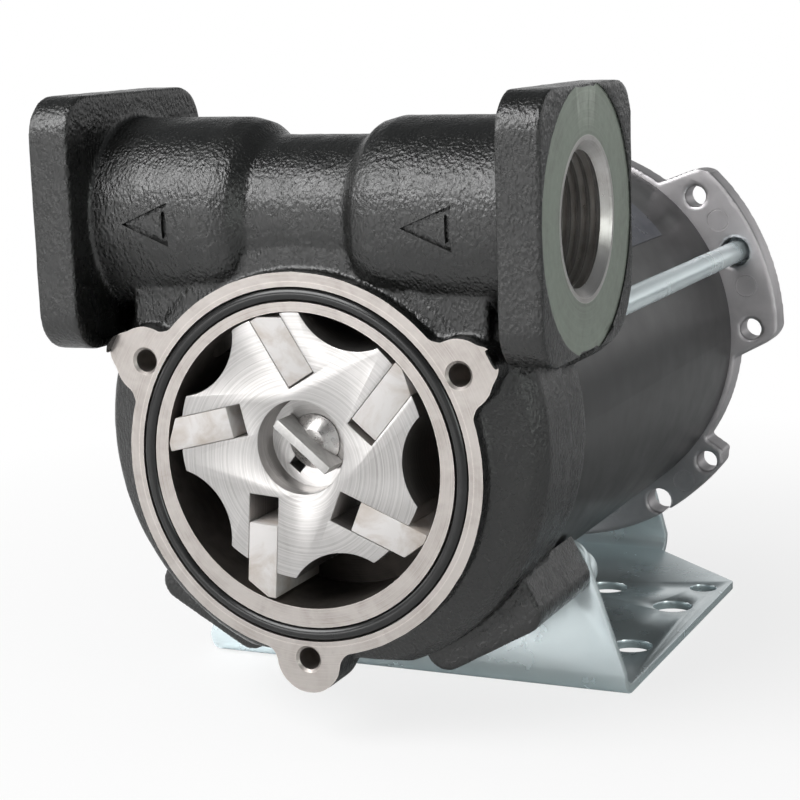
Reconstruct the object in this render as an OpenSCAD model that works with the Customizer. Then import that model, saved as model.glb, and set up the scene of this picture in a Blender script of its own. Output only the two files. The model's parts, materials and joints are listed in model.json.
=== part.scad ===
// Rotary vane fuel pump with a direct current motor on a sheet metal foot.
// Millimetres. The foot stands on z = 0 and +z is up.
// Pieces are drawn in the pump's own frame: x runs across the two ports,
// y runs from the ring face back along the motor, z runs up from the ring's centre.

/* [Chamber and ring face] */
// Diameter of the chamber bore
chamber_d = 54.5; // [53:0.1:56]
// Distance of the chamber's axis below the rotor's axis
eccentricity = 2.6; // [2:0.1:3]
// Height of the chamber's axis above the ring's centre
chamber_rise = 0.9; // [0:0.1:1.5]
// Width of the machined ring from the chamber's radius outwards
ring_w = 7.95; // [7.5:0.05:9]
// Distance from the chamber's radius to the middle of the seal's groove
seal_out = 4; // [3.5:0.1:5]
// Thickness of the seal ring's cord
seal_cord = 2.5; // [2:0.1:3]
// Distance from the chamber's radius to the circle of the cover screws
cover_out = 8.75; // [8.5:0.05:10]
// Tapping diameter of a cover screw
cover_tap_d = 4.2; // [3.3:0.1:5]
// Depth of a cover screw's hole
cover_tap_depth = 12; // [8:1:16]
// Radius of the ear round a cover screw
cover_ear_r = 6.4; // [5.5:0.1:8]

/* [Body] */
// Diameter of the body's barrel
barrel_d = 88.6; // [86:0.2:92]
// Thickness of the machined ring in front of the barrel
ring_t = 3.2; // [2:0.1:4]
// Thickness of the body's rear flange
rear_band_t = 8.5; // [7:0.5:9]
// Diameter of the body's rear flange
rear_band_d = 87.6; // [86:0.2:90]
// Distance from the rotor's axis to the flat under a foot of the body
lug_flat = 49.4; // [49:0.1:51]
// Angle of that flat's normal below the horizontal
lug_angle = 60.6; // [58:0.2:62]
// Distance of the feet's front behind the ring face
lug_front = 15.5; // [12:0.5:20]

/* [Ports] */
// Distance between the two port faces
port_span = 97.6; // [94:0.2:110]
// Distance from the top of the chamber up to the ports' axis
port_wall = 15.05; // [14:0.05:18]
// Distance of the ports behind the ring face
port_back = 17.8; // [17:0.2:20]
// Pitch of the pipe thread
thread_pitch = 1.814; // [1.4:0.001:2.4]
// Minor radius of the inlet's pipe thread
thread_minor_r = 12.06; // [11.5:0.01:12.3]
// How much wider the outlet's thread is bored, within its tolerance
outlet_more = 0.24; // [0.2:0.01:0.3]
// Major radius of the pipe thread
thread_major_r = 13.22; // [12.8:0.01:13.6]
// Number of full thread turns in a port
thread_turns = 8; // [6:1:9]
// Width of a port flange along the motor
port_flange_w = 49; // [47:0.2:54]
// Height of a port flange
port_flange_h = 46.6; // [44:0.2:50]
// Thickness of a port flange
port_flange_t = 8.1; // [7:0.1:10]
// Outer radius of the port tubes
port_tube_r = 18.3; // [17.5:0.1:19]
// Outer radius of the neck between the tubes
neck_r = 15; // [13.5:0.1:16]
// Length of the neck
neck_len = 19.5; // [16:0.5:22]

/* [Rotor and vanes] */
// Width of the shaft seal behind the rotor
seal_w = 7.6; // [6:0.1:9]
// Width of the rotor along its axis
rotor_w = 18; // [15:0.1:18.4]
// Diameter of the recess in the rotor's hub
hub_d = 17.2; // [16:0.1:18]
// Diameter of the motor shaft
shaft_d = 10; // [8:0.1:11]
// Thickness of a vane
vane_t = 5.8; // [5:0.1:6.2]
// Distance of a slot's middle line from the rotor's axis
slot_offset = 7.1; // [6.6:0.1:7.5]
// Distance of a slot's floor from the foot of that offset
slot_floor = 9.9; // [9.6:0.1:10.4]
// Direction of the first slot seen from the front
slot_angle = 265.9; // [258:0.1:272]
// Radius of the scallops between the slots
scallop_r = 12; // [11:0.5:13]
// Least radius that a scallop leaves on the rotor
scallop_floor = 20; // [19.6:0.1:21]

/* [Motor] */
// Outer diameter of the motor tube
motor_d = 85.2; // [82:0.2:86]
// Wall of the motor tube
motor_wall = 3.5; // [2.5:0.1:4]
// Distance of the rear flange behind the ring face
motor_end = 136.7; // [130:0.5:150]
// Thickness of the rear flange
rear_flange_t = 7; // [5:0.5:8]
// Depth of the rear end bell behind the flange
bell_depth = 6.3; // [6:0.1:10]
// Distance from the motor tube to the middle of a tie rod
rod_out = 5.1; // [4.5:0.1:6]
// Diameter of a tie rod
rod_d = 5; // [4:0.1:5.4]
// Angle of the first tie rod above the horizontal
rod_angle = 24.5; // [20:0.5:30]
// How far the rear flange's tall ears reach beyond the motor tube
ear_out = 11; // [10.4:0.1:14]
// How far the rear flange's low ears reach beyond the motor tube
low_ear_out = 7.6; // [7.4:0.1:10]

/* [Foot] */
// Room between the motor tube and the surface that the foot stands on
foot_room = 14.3; // [13:0.1:20]
// Thickness of the foot's sheet
sheet_t = 2; // [1.5:0.1:2.5]
// Width of the foot at the front
foot_w = 92; // [88:1:100]
// Distance of the front upright behind the ring face
foot_front = 44.3; // [42:0.1:48]
// Inner radius of the sheet's bends
bend_r = 3; // [2:0.5:4]
// Distance across the foot between its mounting holes
foot_hole_x = 77; // [74:1:80]
// Distance along the motor between the foot's mounting holes
foot_hole_y = 30; // [26:1:40]
// Distance of the first mounting holes behind the ring face
foot_hole_back = 72; // [68:1:76]
// Diameter of a mounting hole
foot_hole_d = 8.5; // [6:0.5:9]
// Diameter of the screws that hold the foot
foot_screw_d = 5; // [4:0.5:5]

/* [Hidden] */
$fn = 96;

// Clearances and cuts
gap = 0.3;
fit_gap = 0.05;
rotor_gap = 0.15;
cut = 1;
tip_gap = 0.04;
screw_free = 1.5;

// Chamber and rotor
chamber_r = chamber_d / 2;
rotor_r = chamber_r - eccentricity - rotor_gap;
ring_r = chamber_r + ring_w;
cover_circle_r = chamber_r + cover_out;
shaft_r = shaft_d / 2;
shaft_z = chamber_rise + eccentricity;
rotor_front = rotor_gap;
rotor_back = rotor_front + rotor_w;
chamber_depth = rotor_back + rotor_gap;
washer_t = 1;
washer_r = scallop_floor - eccentricity - gap;
washer_hole_r = shaft_r + eccentricity - gap;
washer_front = rotor_back + fit_gap;
washer_floor = chamber_depth + washer_t;
seal_wall = 2.8;
seal_front = washer_floor + seal_wall;
body_len = seal_front + seal_w + gap;
vane_count = 5;
vane_step = 360 / vane_count;
slot_w = vane_t + 2 * fit_gap;
vane_w = rotor_w - 2 * fit_gap;
vane_bevel_share = 0.72;
vane_bevel_rise_share = 0.62;
scallop_lead_angle = 19;
hub_depth = 6;
key_w = 1.7;
key_len = 13;
key_depth = 12;
key_angle = 140.6;
key_front = 0.5;
keyway_w = 2.6;
keyway_from = 4;
keyway_to = 6.9;

// The tip of a vane stays on this circle to within a tenth of a millimetre
down_angle = 270;
tip_r = chamber_r - tip_gap;
tip_offset = slot_offset + vane_t / 2 - vane_t * vane_bevel_share;
tip_run = sqrt(tip_r * tip_r - tip_offset * tip_offset);
tip_lead_angle = atan2(tip_offset, tip_run);
stroke = eccentricity * sqrt(1 + pow(tip_offset / tip_run, 2));
tip_sag = eccentricity * eccentricity / (2 * tip_run);
slot_room = 0.2;
vane_len = tip_run - tip_sag - stroke - slot_floor - slot_room;
function slot_dir(k) = slot_angle + vane_step * k;
function vane_out(k) = tip_run - tip_sag + stroke * cos(down_angle - slot_dir(k) + tip_lead_angle);
// The washer turns about this point, half way to the centre of that motion
washer_x = stroke / 2 * cos(down_angle + tip_lead_angle);
washer_z = shaft_z + stroke / 2 * sin(down_angle + tip_lead_angle);

// Seal of the cover
seal_r = chamber_r + seal_out;
seal_side = 0.1;
seal_groove_depth = seal_cord - 4 * seal_side;

// Body
barrel_r = barrel_d / 2;
barrel_back = body_len - rear_band_t;
band_r = rear_band_d / 2;
groove_w = 0.8;
groove_depth = 1.5;
shoulder_len = 6;
draft_share = 0.2;
draft_gap = 0.4;
web_half_w = 35.5;
web_step = 0.6;
web_front = ring_t + web_step;
web_low = 8;
cover_ear_t = 9;
cover_ear_flare = 9.5;
side_ear_out = 3.6;
side_ear_up = 1.5;
side_ear_r = 3.8;
lug_corner = 4;
lug_from = -6;
lug_to = 19;
lug_tap_depth = 14;
lug_screw_in = lug_flat - lug_corner;
lug_screw_inset = 0.5;
lug_screw_along = lug_to - lug_corner - lug_screw_inset;
lug_screw_x = lug_screw_in * cos(lug_angle) + lug_screw_along * sin(lug_angle);
lug_screw_z = shaft_z - lug_screw_in * sin(lug_angle) + lug_screw_along * cos(lug_angle);
motor_r = motor_d / 2;
centre_height = motor_r - shaft_z + foot_room;
rod_circle_r = motor_r + rod_out;
motor_clear_r = motor_r + gap + fit_gap;
rod_ear_r = 6.2;
rod_tap_depth = 7;
rod_angles = [rod_angle, 180 - rod_angle];

// Ports
port_half = port_span / 2;
port_rise = chamber_rise + chamber_r + port_wall;
neck_shift = -0.9;
neck_rise = 6;
port_corner_r = 7.5;
port_cut_r = 13;
spot_r = 23.8;
spot_depth = 0.4;
port_lead_in = 0.55;
port_mouth_r = thread_major_r + port_lead_in;
thread_crest_share = 0.22;
thread_crest = thread_pitch * thread_crest_share;
thread_start = port_mouth_r - thread_minor_r;
thread_len = thread_start + thread_turns * thread_pitch + thread_crest;
port_cavity_r = 11;
port_cavity_in = 12.4;
duct_x = 16.2;
duct_y = 10;
duct_r = 5.4;
arrow_len = 9.4;
arrow_w = 7.6;
arrow_line = 0.9;
arrow_tip_share = 3;
arrow_depth = 0.8;
arrow_places = [-29.6, 25.8];

// Bypass valve, bored from the back above the motor
valve_rise = 1.8;
valve_z = port_rise + valve_rise;
valve_bore_r = 7;
valve_seat_r = 4.3;
valve_duct_r = 2.8;
valve_duct_step = 0.8;
valve_window_r = 4;
valve_boss_r = 10;
valve_travel = 3;
poppet_gap = 0.08;
poppet_r = valve_bore_r - poppet_gap;
poppet_t = 4;
poppet_stem_r = 2;
poppet_stem = 6.2;
plug_t = 3.6;
plug_front = body_len - gap - plug_t;
valve_room = 0.5;
valve_seat_len = 7;
valve_window_back = 8.1;
valve_floor = plug_front - valve_room - valve_travel - poppet_stem - poppet_t;
valve_seat_front = valve_floor - valve_seat_len;
valve_duct_y = valve_seat_front + valve_duct_r + valve_duct_step;
valve_window_y = valve_floor + valve_window_back;
plug_socket = 6;
plug_seal_cord = 1.2;
valve_wire = 1.1;
valve_spring_r = 4.6;

// Shaft seal and bearings
shaft_hole_gap = 0.6;
shaft_hole_r = shaft_r + shaft_hole_gap;
seal_pocket_r = 11;
bearing_r = 13;
bearing_w = 8;
bearing_ball_r = 2.4;
bearing_track_r = (bearing_r + shaft_r) / 2;
bearing_land = 1.5;
bearing_balls = 7;
race_gap = 0.06;

// Motor
tube_in_r = motor_r - motor_wall;
plate_r = tube_in_r - gap;
plate_t = 6;
bearing_floor = 3;
front_bearing_front = body_len + bearing_floor;
plate_hub_wall = 3.5;
plate_hub_r = bearing_r + plate_hub_wall;
plate_back = front_bearing_front + bearing_w;
plate_screw_d = 5;
plate_screw_circle_r = 30;
magnet_t = 7.6;
magnet_arc_angle = 140;
magnet_front_room = 28;
magnet_back_room = 24.7;
magnet_front = body_len + magnet_front_room;
magnet_back = motor_end - magnet_back_room;
magnet_len = magnet_back - magnet_front;
air_gap = 0.9;
magnet_in_r = tube_in_r - magnet_t;
core_r = magnet_in_r - air_gap;
core_inset = 4;
core_front = magnet_front + core_inset;
core_back = magnet_back - core_inset;
coil_count = 12;
coil_r = 3;
coil_cover = 2;
coil_circle_r = core_r - coil_r - coil_cover;
coil_end = 8;
commutator_r = 12;
commutator_len = 13;
commutator_gap = 1.5;
commutator_front = core_back + coil_end + commutator_gap;
commutator_back = commutator_front + commutator_len;
rear_bearing_setback = 1;
rear_bearing_front = motor_end + rear_bearing_setback;
rear_bearing_back = rear_bearing_front + bearing_w;
shaft_end = rear_bearing_back;
shaft_front = 5.2;
shaft_dome = 0.8;
bell_back = motor_end + rear_flange_t + bell_depth;
bell_step = 1.6;
bell_r = motor_r - bell_step;
bell_wall = 4;
spigot_len = 3;
flange_rim = 1.2;
flange_r = motor_r + flange_rim;
ear_reach = motor_r + ear_out;
low_ear_reach = motor_r + low_ear_out;
ear_before_angle = 32;
ear_after_angle = 31;
ear_from_angle = rod_angle - ear_before_angle;
ear_to_angle = rod_angle + ear_after_angle;
ear_slant_angle = 8;
low_ear_end_angle = -33.5;
low_ear_start_angle = -90;
low_ear_slant_angle = 3;
low_ear_root = motor_r + low_ear_out * 4 / 5;
rod_hole_gap = 0.9;
rod_hole_r = rod_d / 2 + rod_hole_gap;
rod_front = body_len - rod_tap_depth + screw_free;
nut_af = 8;
nut_t = 4;
rod_stand = 2;
rod_back = motor_end + rear_flange_t + nut_t + rod_stand;
hole_rim = 3;
hole_circle_r = low_ear_reach - hole_rim;
small_hole_r = 2.4;
small_hole_angles = [43.5, 2.5, -39];
large_hole_r = 2.9;
large_hole_angle = -58;

// Brushes, in a holder on the end bell
holder_t = 2;
holder_back = motor_end - spigot_len - gap;
holder_front = holder_back - holder_t;
brush_w = 6;
brush_long = 8;
brush_out = 24;
brush_travel = 3;
brush_gap = 0.1;
box_wall = 1;
box_gap = 1.5;
box_in = commutator_r + box_gap;
box_out = 36;
box_y = holder_front - brush_long / 2 - brush_gap - box_wall;
brush_wire = 0.8;
brush_spring_r = 2.3;

// Foot
foot_y = foot_hole_back + foot_hole_y / 2;
foot_low = -centre_height;
sheet_top = foot_low + sheet_t;
bend_out = bend_r + sheet_t;
foot_back = bell_back;
upright_top = -22;
upright_top_half = 37;
upright_corner_r = 5;
foot_side_back = 125.5;
tab_half_low = 22.6;
tab_half_top = 17;
tab_top = -27;
tab_corner_r = 5;
tab_screw_x = 12;
tab_screw_z = -33;
tab_screw_d = 5;
inner_hole_x = 20;
inner_hole_back = 112;
inner_hole_d = 9;
outer_hole_x = 41;
outer_hole_back = 118;
outer_hole_d = 6;
rib_x = 27;
rib_w = 5;
rib_leg = 7;
head_share = 0.62;
head_r_share = 0.85;

// Small trim
label_t = 0.25;
label_low_angle = 38;
label_high_angle = 74;
label_front = 78;
label_back = 112;
grommet_angle = 60;
grommet_circle_r = 24;
grommet_r = 5;
grommet_wall = 1;

module placed() {
    translate([0, -foot_y, centre_height]) children();
}

// A turned piece along y, from y to y + len, at x and z
module rod_y(r, y, len, x = 0, z = 0) {
    translate([x, y, z]) rotate([-90, 0, 0]) cylinder(r = r, h = len);
}

// A turned piece along x, from x to x + len, at y and z
module rod_x(r, x, len, y = 0, z = 0) {
    translate([x, y, z]) rotate([0, 90, 0]) cylinder(r = r, h = len);
}

// Turns a profile of [radius, distance back] points about an axis along y
module turned_y(x = 0, z = 0) {
    translate([x, 0, z]) rotate([-90, 0, 0]) rotate_extrude() children();
}

// Extrudes an outline drawn in x and z, from y to y + len
module plate_y(y, len) {
    translate([0, y + len, 0]) rotate([90, 0, 0]) linear_extrude(height = len) children();
}

// A rectangle with round corners, centred
module soft_rectangle(w, h, r) {
    square([w - 2 * r, h], center = true);
    square([w, h - 2 * r], center = true);
    for (sx = [-1, 1]) {
        for (sz = [-1, 1]) {
            translate([sx * (w / 2 - r), sz * (h / 2 - r)]) circle(r = r);
        }
    }
}

// A part of a disc between two angles; slant leans its ends in to the root radius
module disc_part(r, from, to, slant = 0, root = 0) {
    quarter = (to - from) / 4 - slant / 2;
    middle = (from + to) / 2;
    reach = r / cos(quarter);
    foot = root > 0 ? root : r;
    intersection() {
        circle(r = r);
        polygon([[0, 0], foot * [cos(from), sin(from)], r * [cos(from + slant), sin(from
            + slant)], reach * [cos(middle - quarter), sin(middle - quarter)], reach
            * [cos(middle + quarter), sin(middle + quarter)], r * [cos(to - slant), sin(to
            - slant)], foot * [cos(to), sin(to)]]);
    }
}

// A steel spring of round wire along z, from 0 to len
module spring_z(mean_r, wire, len, turns) {
    sides = 6;
    steps = 12;
    count = turns * steps;
    rise = (len - wire) / count;
    rings = [for (i = [0:count]) [for (j = [0:sides - 1])
        let (a = 360 * i / steps, b = 360 * j / sides, r = mean_r + wire / 2 * cos(b))
        [r * cos(a), r * sin(a), wire / 2 + rise * i + wire / 2 * sin(b)]]];
    points = [for (ring = rings) for (p = ring) p];
    first = [for (j = [0:sides - 1]) j];
    last = [for (j = [sides - 1:-1:0]) count * sides + j];
    skin = [for (i = [0:count - 1]) for (j = [0:sides - 1]) for (half = [0, 1])
        let (k = (j + 1) % sides, low = i * sides, high = low + sides)
        half == 0 ? [low + j, high + j, low + k] : [low + k, high + j, high + k]];
    polyhedron(points = points, faces = concat([first, last], skin));
}

// Ear outline round a cover screw, pointing away from the ring's centre
module cover_ear() {
    translate([cover_circle_r, 0]) circle(r = cover_ear_r);
    polygon([[0, -cover_ear_flare], [ring_r - ring_t, -cover_ear_flare],
        [cover_circle_r, -cover_ear_r], [cover_circle_r, cover_ear_r],
        [ring_r - ring_t, cover_ear_flare], [0, cover_ear_flare]]);
}

// The casting without its machined hollows
module body_casting() {
    rod_y(ring_r, 0, ring_t + cut);
    for (a = [30, 150, 270]) {
        plate_y(0, cover_ear_t) rotate(a) cover_ear();
    }
    // Side ears have a cast corner beyond the screw
    for (s = [-1, 1]) {
        plate_y(0, cover_ear_t) translate([s * (cover_circle_r * cos(30) + side_ear_out),
            cover_circle_r * sin(30) + side_ear_up]) circle(r = side_ear_r);
    }
    barrel();
    // Web under the port tubes
    translate([-web_half_w, web_front, web_low])
        cube([2 * web_half_w, body_len - web_front, port_rise - web_low]);
    port_tubes();
    for (s = [0, 1]) {
        mirror([s, 0, 0]) port_flange();
    }
    rod_y(valve_boss_r, port_back, body_len - port_back, 0, valve_z);
    for (s = [0, 1]) {
        mirror([s, 0, 0]) foot_lug();
    }
    for (a = rod_angles) {
        rod_ear(a);
    }
}

// Barrel of the casting; its underside slopes up to the ring
module barrel() {
    low = 2 * barrel_r;
    difference() {
        turned_y(0, shaft_z) polygon([[0, ring_t], [ring_r, ring_t], [barrel_r
            - shoulder_len / 3, ring_t + shoulder_len / 2], [barrel_r, ring_t + shoulder_len],
            [barrel_r, barrel_back - groove_w], [band_r - groove_depth, barrel_back - groove_w],
            [band_r - groove_depth, barrel_back], [band_r, barrel_back], [band_r, body_len],
            [0, body_len]]);
        translate([-barrel_r, 0, 0]) rotate([90, 0, 90]) linear_extrude(height = barrel_d)
            polygon([[0, -ring_r - draft_gap], [barrel_back, -ring_r - draft_gap
                - draft_share * barrel_back], [barrel_back, -low - draft_gap], [0, -low
                - draft_gap]]);
    }
}

// The two port tubes and the neck, turned about the ports' axis
module port_tubes() {
    half = port_half - port_flange_t / 2;
    step = (port_tube_r - neck_r) / 2;
    from = neck_shift - neck_len / 2;
    to = neck_shift + neck_len / 2;
    translate([0, port_back, port_rise]) rotate([0, 90, 0]) rotate_extrude()
        polygon([[0, -half], [port_tube_r, -half], [port_tube_r, from - neck_rise],
            [port_tube_r - step / 2, from - neck_rise + 2 * step], [neck_r, from],
            [neck_r, to], [port_tube_r - step / 2, to + neck_rise - 2 * step],
            [port_tube_r, to + neck_rise], [port_tube_r, half], [0, half]]);
}

module port_flange() {
    translate([port_half + spot_depth - port_flange_t, port_back, port_rise])
        rotate([90, 0, 90]) linear_extrude(height = port_flange_t)
            difference() {
                soft_rectangle(port_flange_w, port_flange_h, port_corner_r);
                translate([port_flange_w / 2 - port_cut_r, port_cut_r - port_flange_h / 2])
                    difference() {
                        translate([0, -port_cut_r - cut]) square(port_cut_r + cut);
                        circle(r = port_cut_r);
                    }
            }
}

// Foot of the body: it reaches back beside the motor to the foot's upright
module foot_lug() {
    start = motor_r / 2;
    translate([0, 0, shaft_z]) plate_y(lug_front, foot_front - lug_front) rotate(-lug_angle)
        difference() {
            union() {
                translate([start, lug_from]) square([lug_flat - lug_corner - start,
                    lug_to - lug_from]);
                translate([start, lug_from + lug_corner]) square([lug_flat - start,
                    lug_to - lug_from - 2 * lug_corner]);
                for (y = [lug_from + lug_corner, lug_to - lug_corner]) {
                    translate([lug_flat - lug_corner, y]) circle(r = lug_corner);
                }
            }
            circle(r = motor_clear_r);
        }
}

// Ear of the body that a tie rod screws into
module rod_ear(a) {
    translate([0, 0, shaft_z]) plate_y(barrel_back, rear_band_t) rotate(a) {
        translate([rod_circle_r, 0]) circle(r = rod_ear_r);
        translate([band_r - rod_ear_r, -rod_ear_r])
            square([rod_circle_r - band_r + rod_ear_r, 2 * rod_ear_r]);
    }
}

// Bore of a port, its mouth on the face, thread grooves and flat crests
module port_hollow(minor_r) {
    depth = thread_major_r - minor_r;
    grooves = [for (i = [0:thread_turns - 1])
        for (p = [[minor_r, thread_crest], [thread_major_r, thread_pitch / 2],
            [thread_major_r, thread_pitch / 2 + thread_crest],
            [minor_r, thread_pitch]])
            [p[0], -(thread_start + i * thread_pitch + p[1])]];
    translate([port_half, port_back, port_rise]) rotate([0, 90, 0]) rotate_extrude()
        polygon(concat([[0, cut], [port_mouth_r + cut, cut], [port_mouth_r, 0],
            [minor_r, -thread_start]], grooves,
            [[minor_r, -thread_len], [port_cavity_r, -thread_len - depth],
            [port_cavity_r, port_cavity_in - port_half], [0, port_cavity_in - port_half]]));
    translate([port_half, port_back, port_rise]) rotate([0, 90, 0])
        cylinder(r = spot_r, h = spot_depth + cut);
    // Duct from the port down into the chamber
    translate([duct_x, duct_y, shaft_z + duct_r]) cylinder(r = duct_r, h = port_rise - shaft_z);
}

// Outline of a flow arrow that points towards -x
module arrow() {
    side = arrow_len * arrow_line * arrow_tip_share / arrow_w;
    difference() {
        polygon([[-arrow_len / 2, 0], [arrow_len / 2, arrow_w / 2], [arrow_len / 2, -arrow_w / 2]]);
        polygon([[-arrow_len / 2 + side, 0],
            [arrow_len / 2 - arrow_line, arrow_w / 2 - 2 * arrow_line],
            [arrow_len / 2 - arrow_line, -arrow_w / 2 + 2 * arrow_line]]);
    }
}

module pump_body() {
    color("#2b2a2d") placed() difference() {
        body_casting();
        rod_y(chamber_r, -cut, chamber_depth + cut, 0, chamber_rise);
        rod_y(washer_r + gap, 0, washer_floor, washer_x, washer_z);
        rod_y(shaft_hole_r, 0, body_len + cut, 0, shaft_z);
        rod_y(seal_pocket_r, seal_front, body_len, 0, shaft_z);
        turned_y() translate([seal_r - seal_cord / 2 - seal_side, -cut])
            square([seal_cord + 2 * seal_side, seal_groove_depth + cut]);
        for (a = [30, 150, 270]) {
            rod_y(cover_tap_d / 2, -cut, cover_tap_depth + cut, cover_circle_r * cos(a),
                cover_circle_r * sin(a));
        }
        port_hollow(thread_minor_r);
        mirror([1, 0, 0]) port_hollow(thread_minor_r + outlet_more);
        // Bypass valve: seat, bore, duct to the outlet and window to the inlet
        rod_y(valve_bore_r, valve_floor, body_len, 0, valve_z);
        rod_y(valve_seat_r, valve_seat_front, valve_floor, 0, valve_z);
        rod_x(valve_duct_r, -port_cavity_in - cut, port_cavity_in + cut, valve_duct_y, valve_z);
        rod_x(valve_window_r, 0, port_cavity_in + cut, valve_window_y, valve_z);
        // Room for the motor tube behind the body
        rod_y(motor_clear_r, body_len, motor_end, 0, shaft_z);
        for (a = rod_angles) {
            rod_y(rod_d / 2, body_len - rod_tap_depth, port_flange_w,
                rod_circle_r * cos(a), shaft_z + rod_circle_r * sin(a));
        }
        for (s = [-1, 1]) {
            rod_y(foot_screw_d / 2, foot_front - lug_tap_depth, lug_tap_depth + cut,
                s * lug_screw_x, lug_screw_z);
        }
        for (x = arrow_places) {
            plate_y(port_back - port_tube_r - cut, arrow_depth + cut)
                translate([x, port_rise]) arrow();
        }
        for (a = [45, 165, 285]) {
            rod_y(plate_screw_d / 2 - fit_gap, body_len - rod_tap_depth, body_len,
                plate_screw_circle_r * cos(a), shaft_z + plate_screw_circle_r * sin(a));
        }
    }
}

module cover_o_ring() {
    color("#141414") placed() turned_y()
        translate([seal_r, seal_groove_depth - seal_cord / 2]) circle(r = seal_cord / 2);
}

module bypass_poppet() {
    color("#b9bcc0") placed() {
        rod_y(poppet_r, valve_floor, poppet_t, 0, valve_z);
        rod_y(poppet_stem_r, valve_floor, poppet_t + poppet_stem, 0, valve_z);
    }
}

module bypass_spring() {
    color("#8f9399") placed() translate([0, valve_floor + poppet_t, valve_z]) rotate([-90, 0, 0])
        spring_z(valve_spring_r, valve_wire, plug_front - valve_floor - poppet_t, 4);
}

module bypass_cap() {
    color("#a9adb2") placed() difference() {
        rod_y(valve_bore_r - fit_gap, plug_front, plug_t, 0, valve_z);
        translate([0, plug_front + plug_t / 3, valve_z]) rotate([-90, 0, 0])
            cylinder(d = plug_socket, h = plug_t, $fn = 6);
        turned_y(0, valve_z) translate([valve_bore_r, plug_front + plug_t / 2])
            circle(r = plug_seal_cord / 2 + fit_gap);
    }
}

module bypass_cap_seal() {
    color("#141414") placed() turned_y(0, valve_z) intersection() {
        translate([valve_bore_r, plug_front + plug_t / 2]) circle(r = plug_seal_cord / 2);
        translate([0, plug_front]) square([valve_bore_r, plug_t]);
    }
}

// Lip seal: a case with a lip that runs on the shaft
module shaft_seal() {
    lip = seal_pocket_r / 4;
    color("#3a2c26") placed() turned_y(0, shaft_z) polygon([
        [seal_pocket_r, seal_front], [shaft_r + fit_gap + lip, seal_front],
        [shaft_r + fit_gap, seal_front + lip / 2], [shaft_r + fit_gap, seal_front + lip],
        [shaft_r + lip, seal_front + 2 * lip], [seal_pocket_r - lip / 2, seal_front + 2 * lip],
        [seal_pocket_r - lip / 2, seal_front + seal_w], [seal_pocket_r, seal_front + seal_w]]);
}

// One race of a ball bearing between two radii, with its track
module race(r_in, r_out, y) {
    turned_y(0, shaft_z) difference() {
        translate([r_in, y]) square([r_out - r_in, bearing_w]);
        translate([bearing_track_r, y + bearing_w / 2]) circle(r = bearing_ball_r + race_gap);
    }
}

module balls(y) {
    for (i = [0:bearing_balls - 1]) {
        a = 360 * i / bearing_balls;
        translate([bearing_track_r * cos(a), y + bearing_w / 2, shaft_z + bearing_track_r * sin(a)])
            sphere(r = bearing_ball_r, $fn = 32);
    }
}

module front_bearing_outer() {
    color("#9ea2a8") placed() race(bearing_track_r + bearing_land, bearing_r, front_bearing_front);
}

module rear_bearing_outer() {
    color("#9ea2a8") placed() race(bearing_track_r + bearing_land, bearing_r, rear_bearing_front);
}

module front_bearing_inner() {
    color("#8b8f95") placed() race(shaft_r, bearing_track_r - bearing_land, front_bearing_front);
}

module rear_bearing_inner() {
    color("#8b8f95") placed() race(shaft_r, bearing_track_r - bearing_land, rear_bearing_front);
}

module front_bearing_balls() {
    color("#c9ccd1") placed() balls(front_bearing_front);
}

module rear_bearing_balls() {
    color("#c9ccd1") placed() balls(rear_bearing_front);
}

// Plate that closes the front of the motor and carries the front bearing
module motor_front_plate() {
    color("#7d8085") placed() difference() {
        union() {
            rod_y(plate_r, body_len, plate_t, 0, shaft_z);
            rod_y(plate_hub_r, body_len, plate_back - body_len, 0, shaft_z);
        }
        rod_y(shaft_r + gap, 0, plate_back + cut, 0, shaft_z);
        rod_y(bearing_r, front_bearing_front, plate_back, 0, shaft_z);
        for (a = [45, 165, 285]) {
            rod_y(plate_screw_d / 2 + gap, 0, plate_back, plate_screw_circle_r * cos(a),
                shaft_z + plate_screw_circle_r * sin(a));
        }
    }
}

// Button head screw along y: its head bears on y and its shank runs forward
module screw_y(d, y, shank, x, z) {
    head = d * head_share;
    rod_y(d / 2, y - shank, shank + fit_gap, x, z);
    translate([x, y, z]) difference() {
        rotate([-90, 0, 0]) cylinder(r = d * head_r_share, h = head);
        translate([0, head / 2, 0]) rotate([-90, 0, 0]) cylinder(d = d * 2 / 3, h = head, $fn = 6);
    }
}

module front_plate_screws() {
    color("#6f7378") placed() for (a = [45, 165, 285]) {
        screw_y(plate_screw_d - 4 * fit_gap, body_len + plate_t, plate_t + rod_tap_depth - screw_free,
            plate_screw_circle_r * cos(a), shaft_z + plate_screw_circle_r * sin(a));
    }
}

module motor_tube() {
    color("#17181a") placed() difference() {
        rod_y(motor_r, body_len, motor_end - body_len, 0, shaft_z);
        rod_y(tube_in_r, 0, motor_end + cut, 0, shaft_z);
    }
}

module field_magnets() {
    color("#3b3c40") placed() translate([0, 0, shaft_z]) plate_y(magnet_front, magnet_len)
        for (side = [0, 180]) rotate(side - magnet_arc_angle / 2) difference() {
            disc_part(tube_in_r, 0, magnet_arc_angle);
            circle(r = magnet_in_r);
        }
}

// Bent spring clips that press the magnets against the tube
module magnet_clips() {
    free = (180 - magnet_arc_angle) / 2;
    strip = magnet_t / 4;
    play = 2;
    color("#a4a8ad") placed() translate([0, 0, shaft_z])
        plate_y(magnet_front, magnet_len) for (side = [90, 270]) {
            rotate(side - free + play) difference() {
                disc_part(tube_in_r, 0, 2 * (free - play));
                circle(r = tube_in_r - strip);
            }
        }
}

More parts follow.
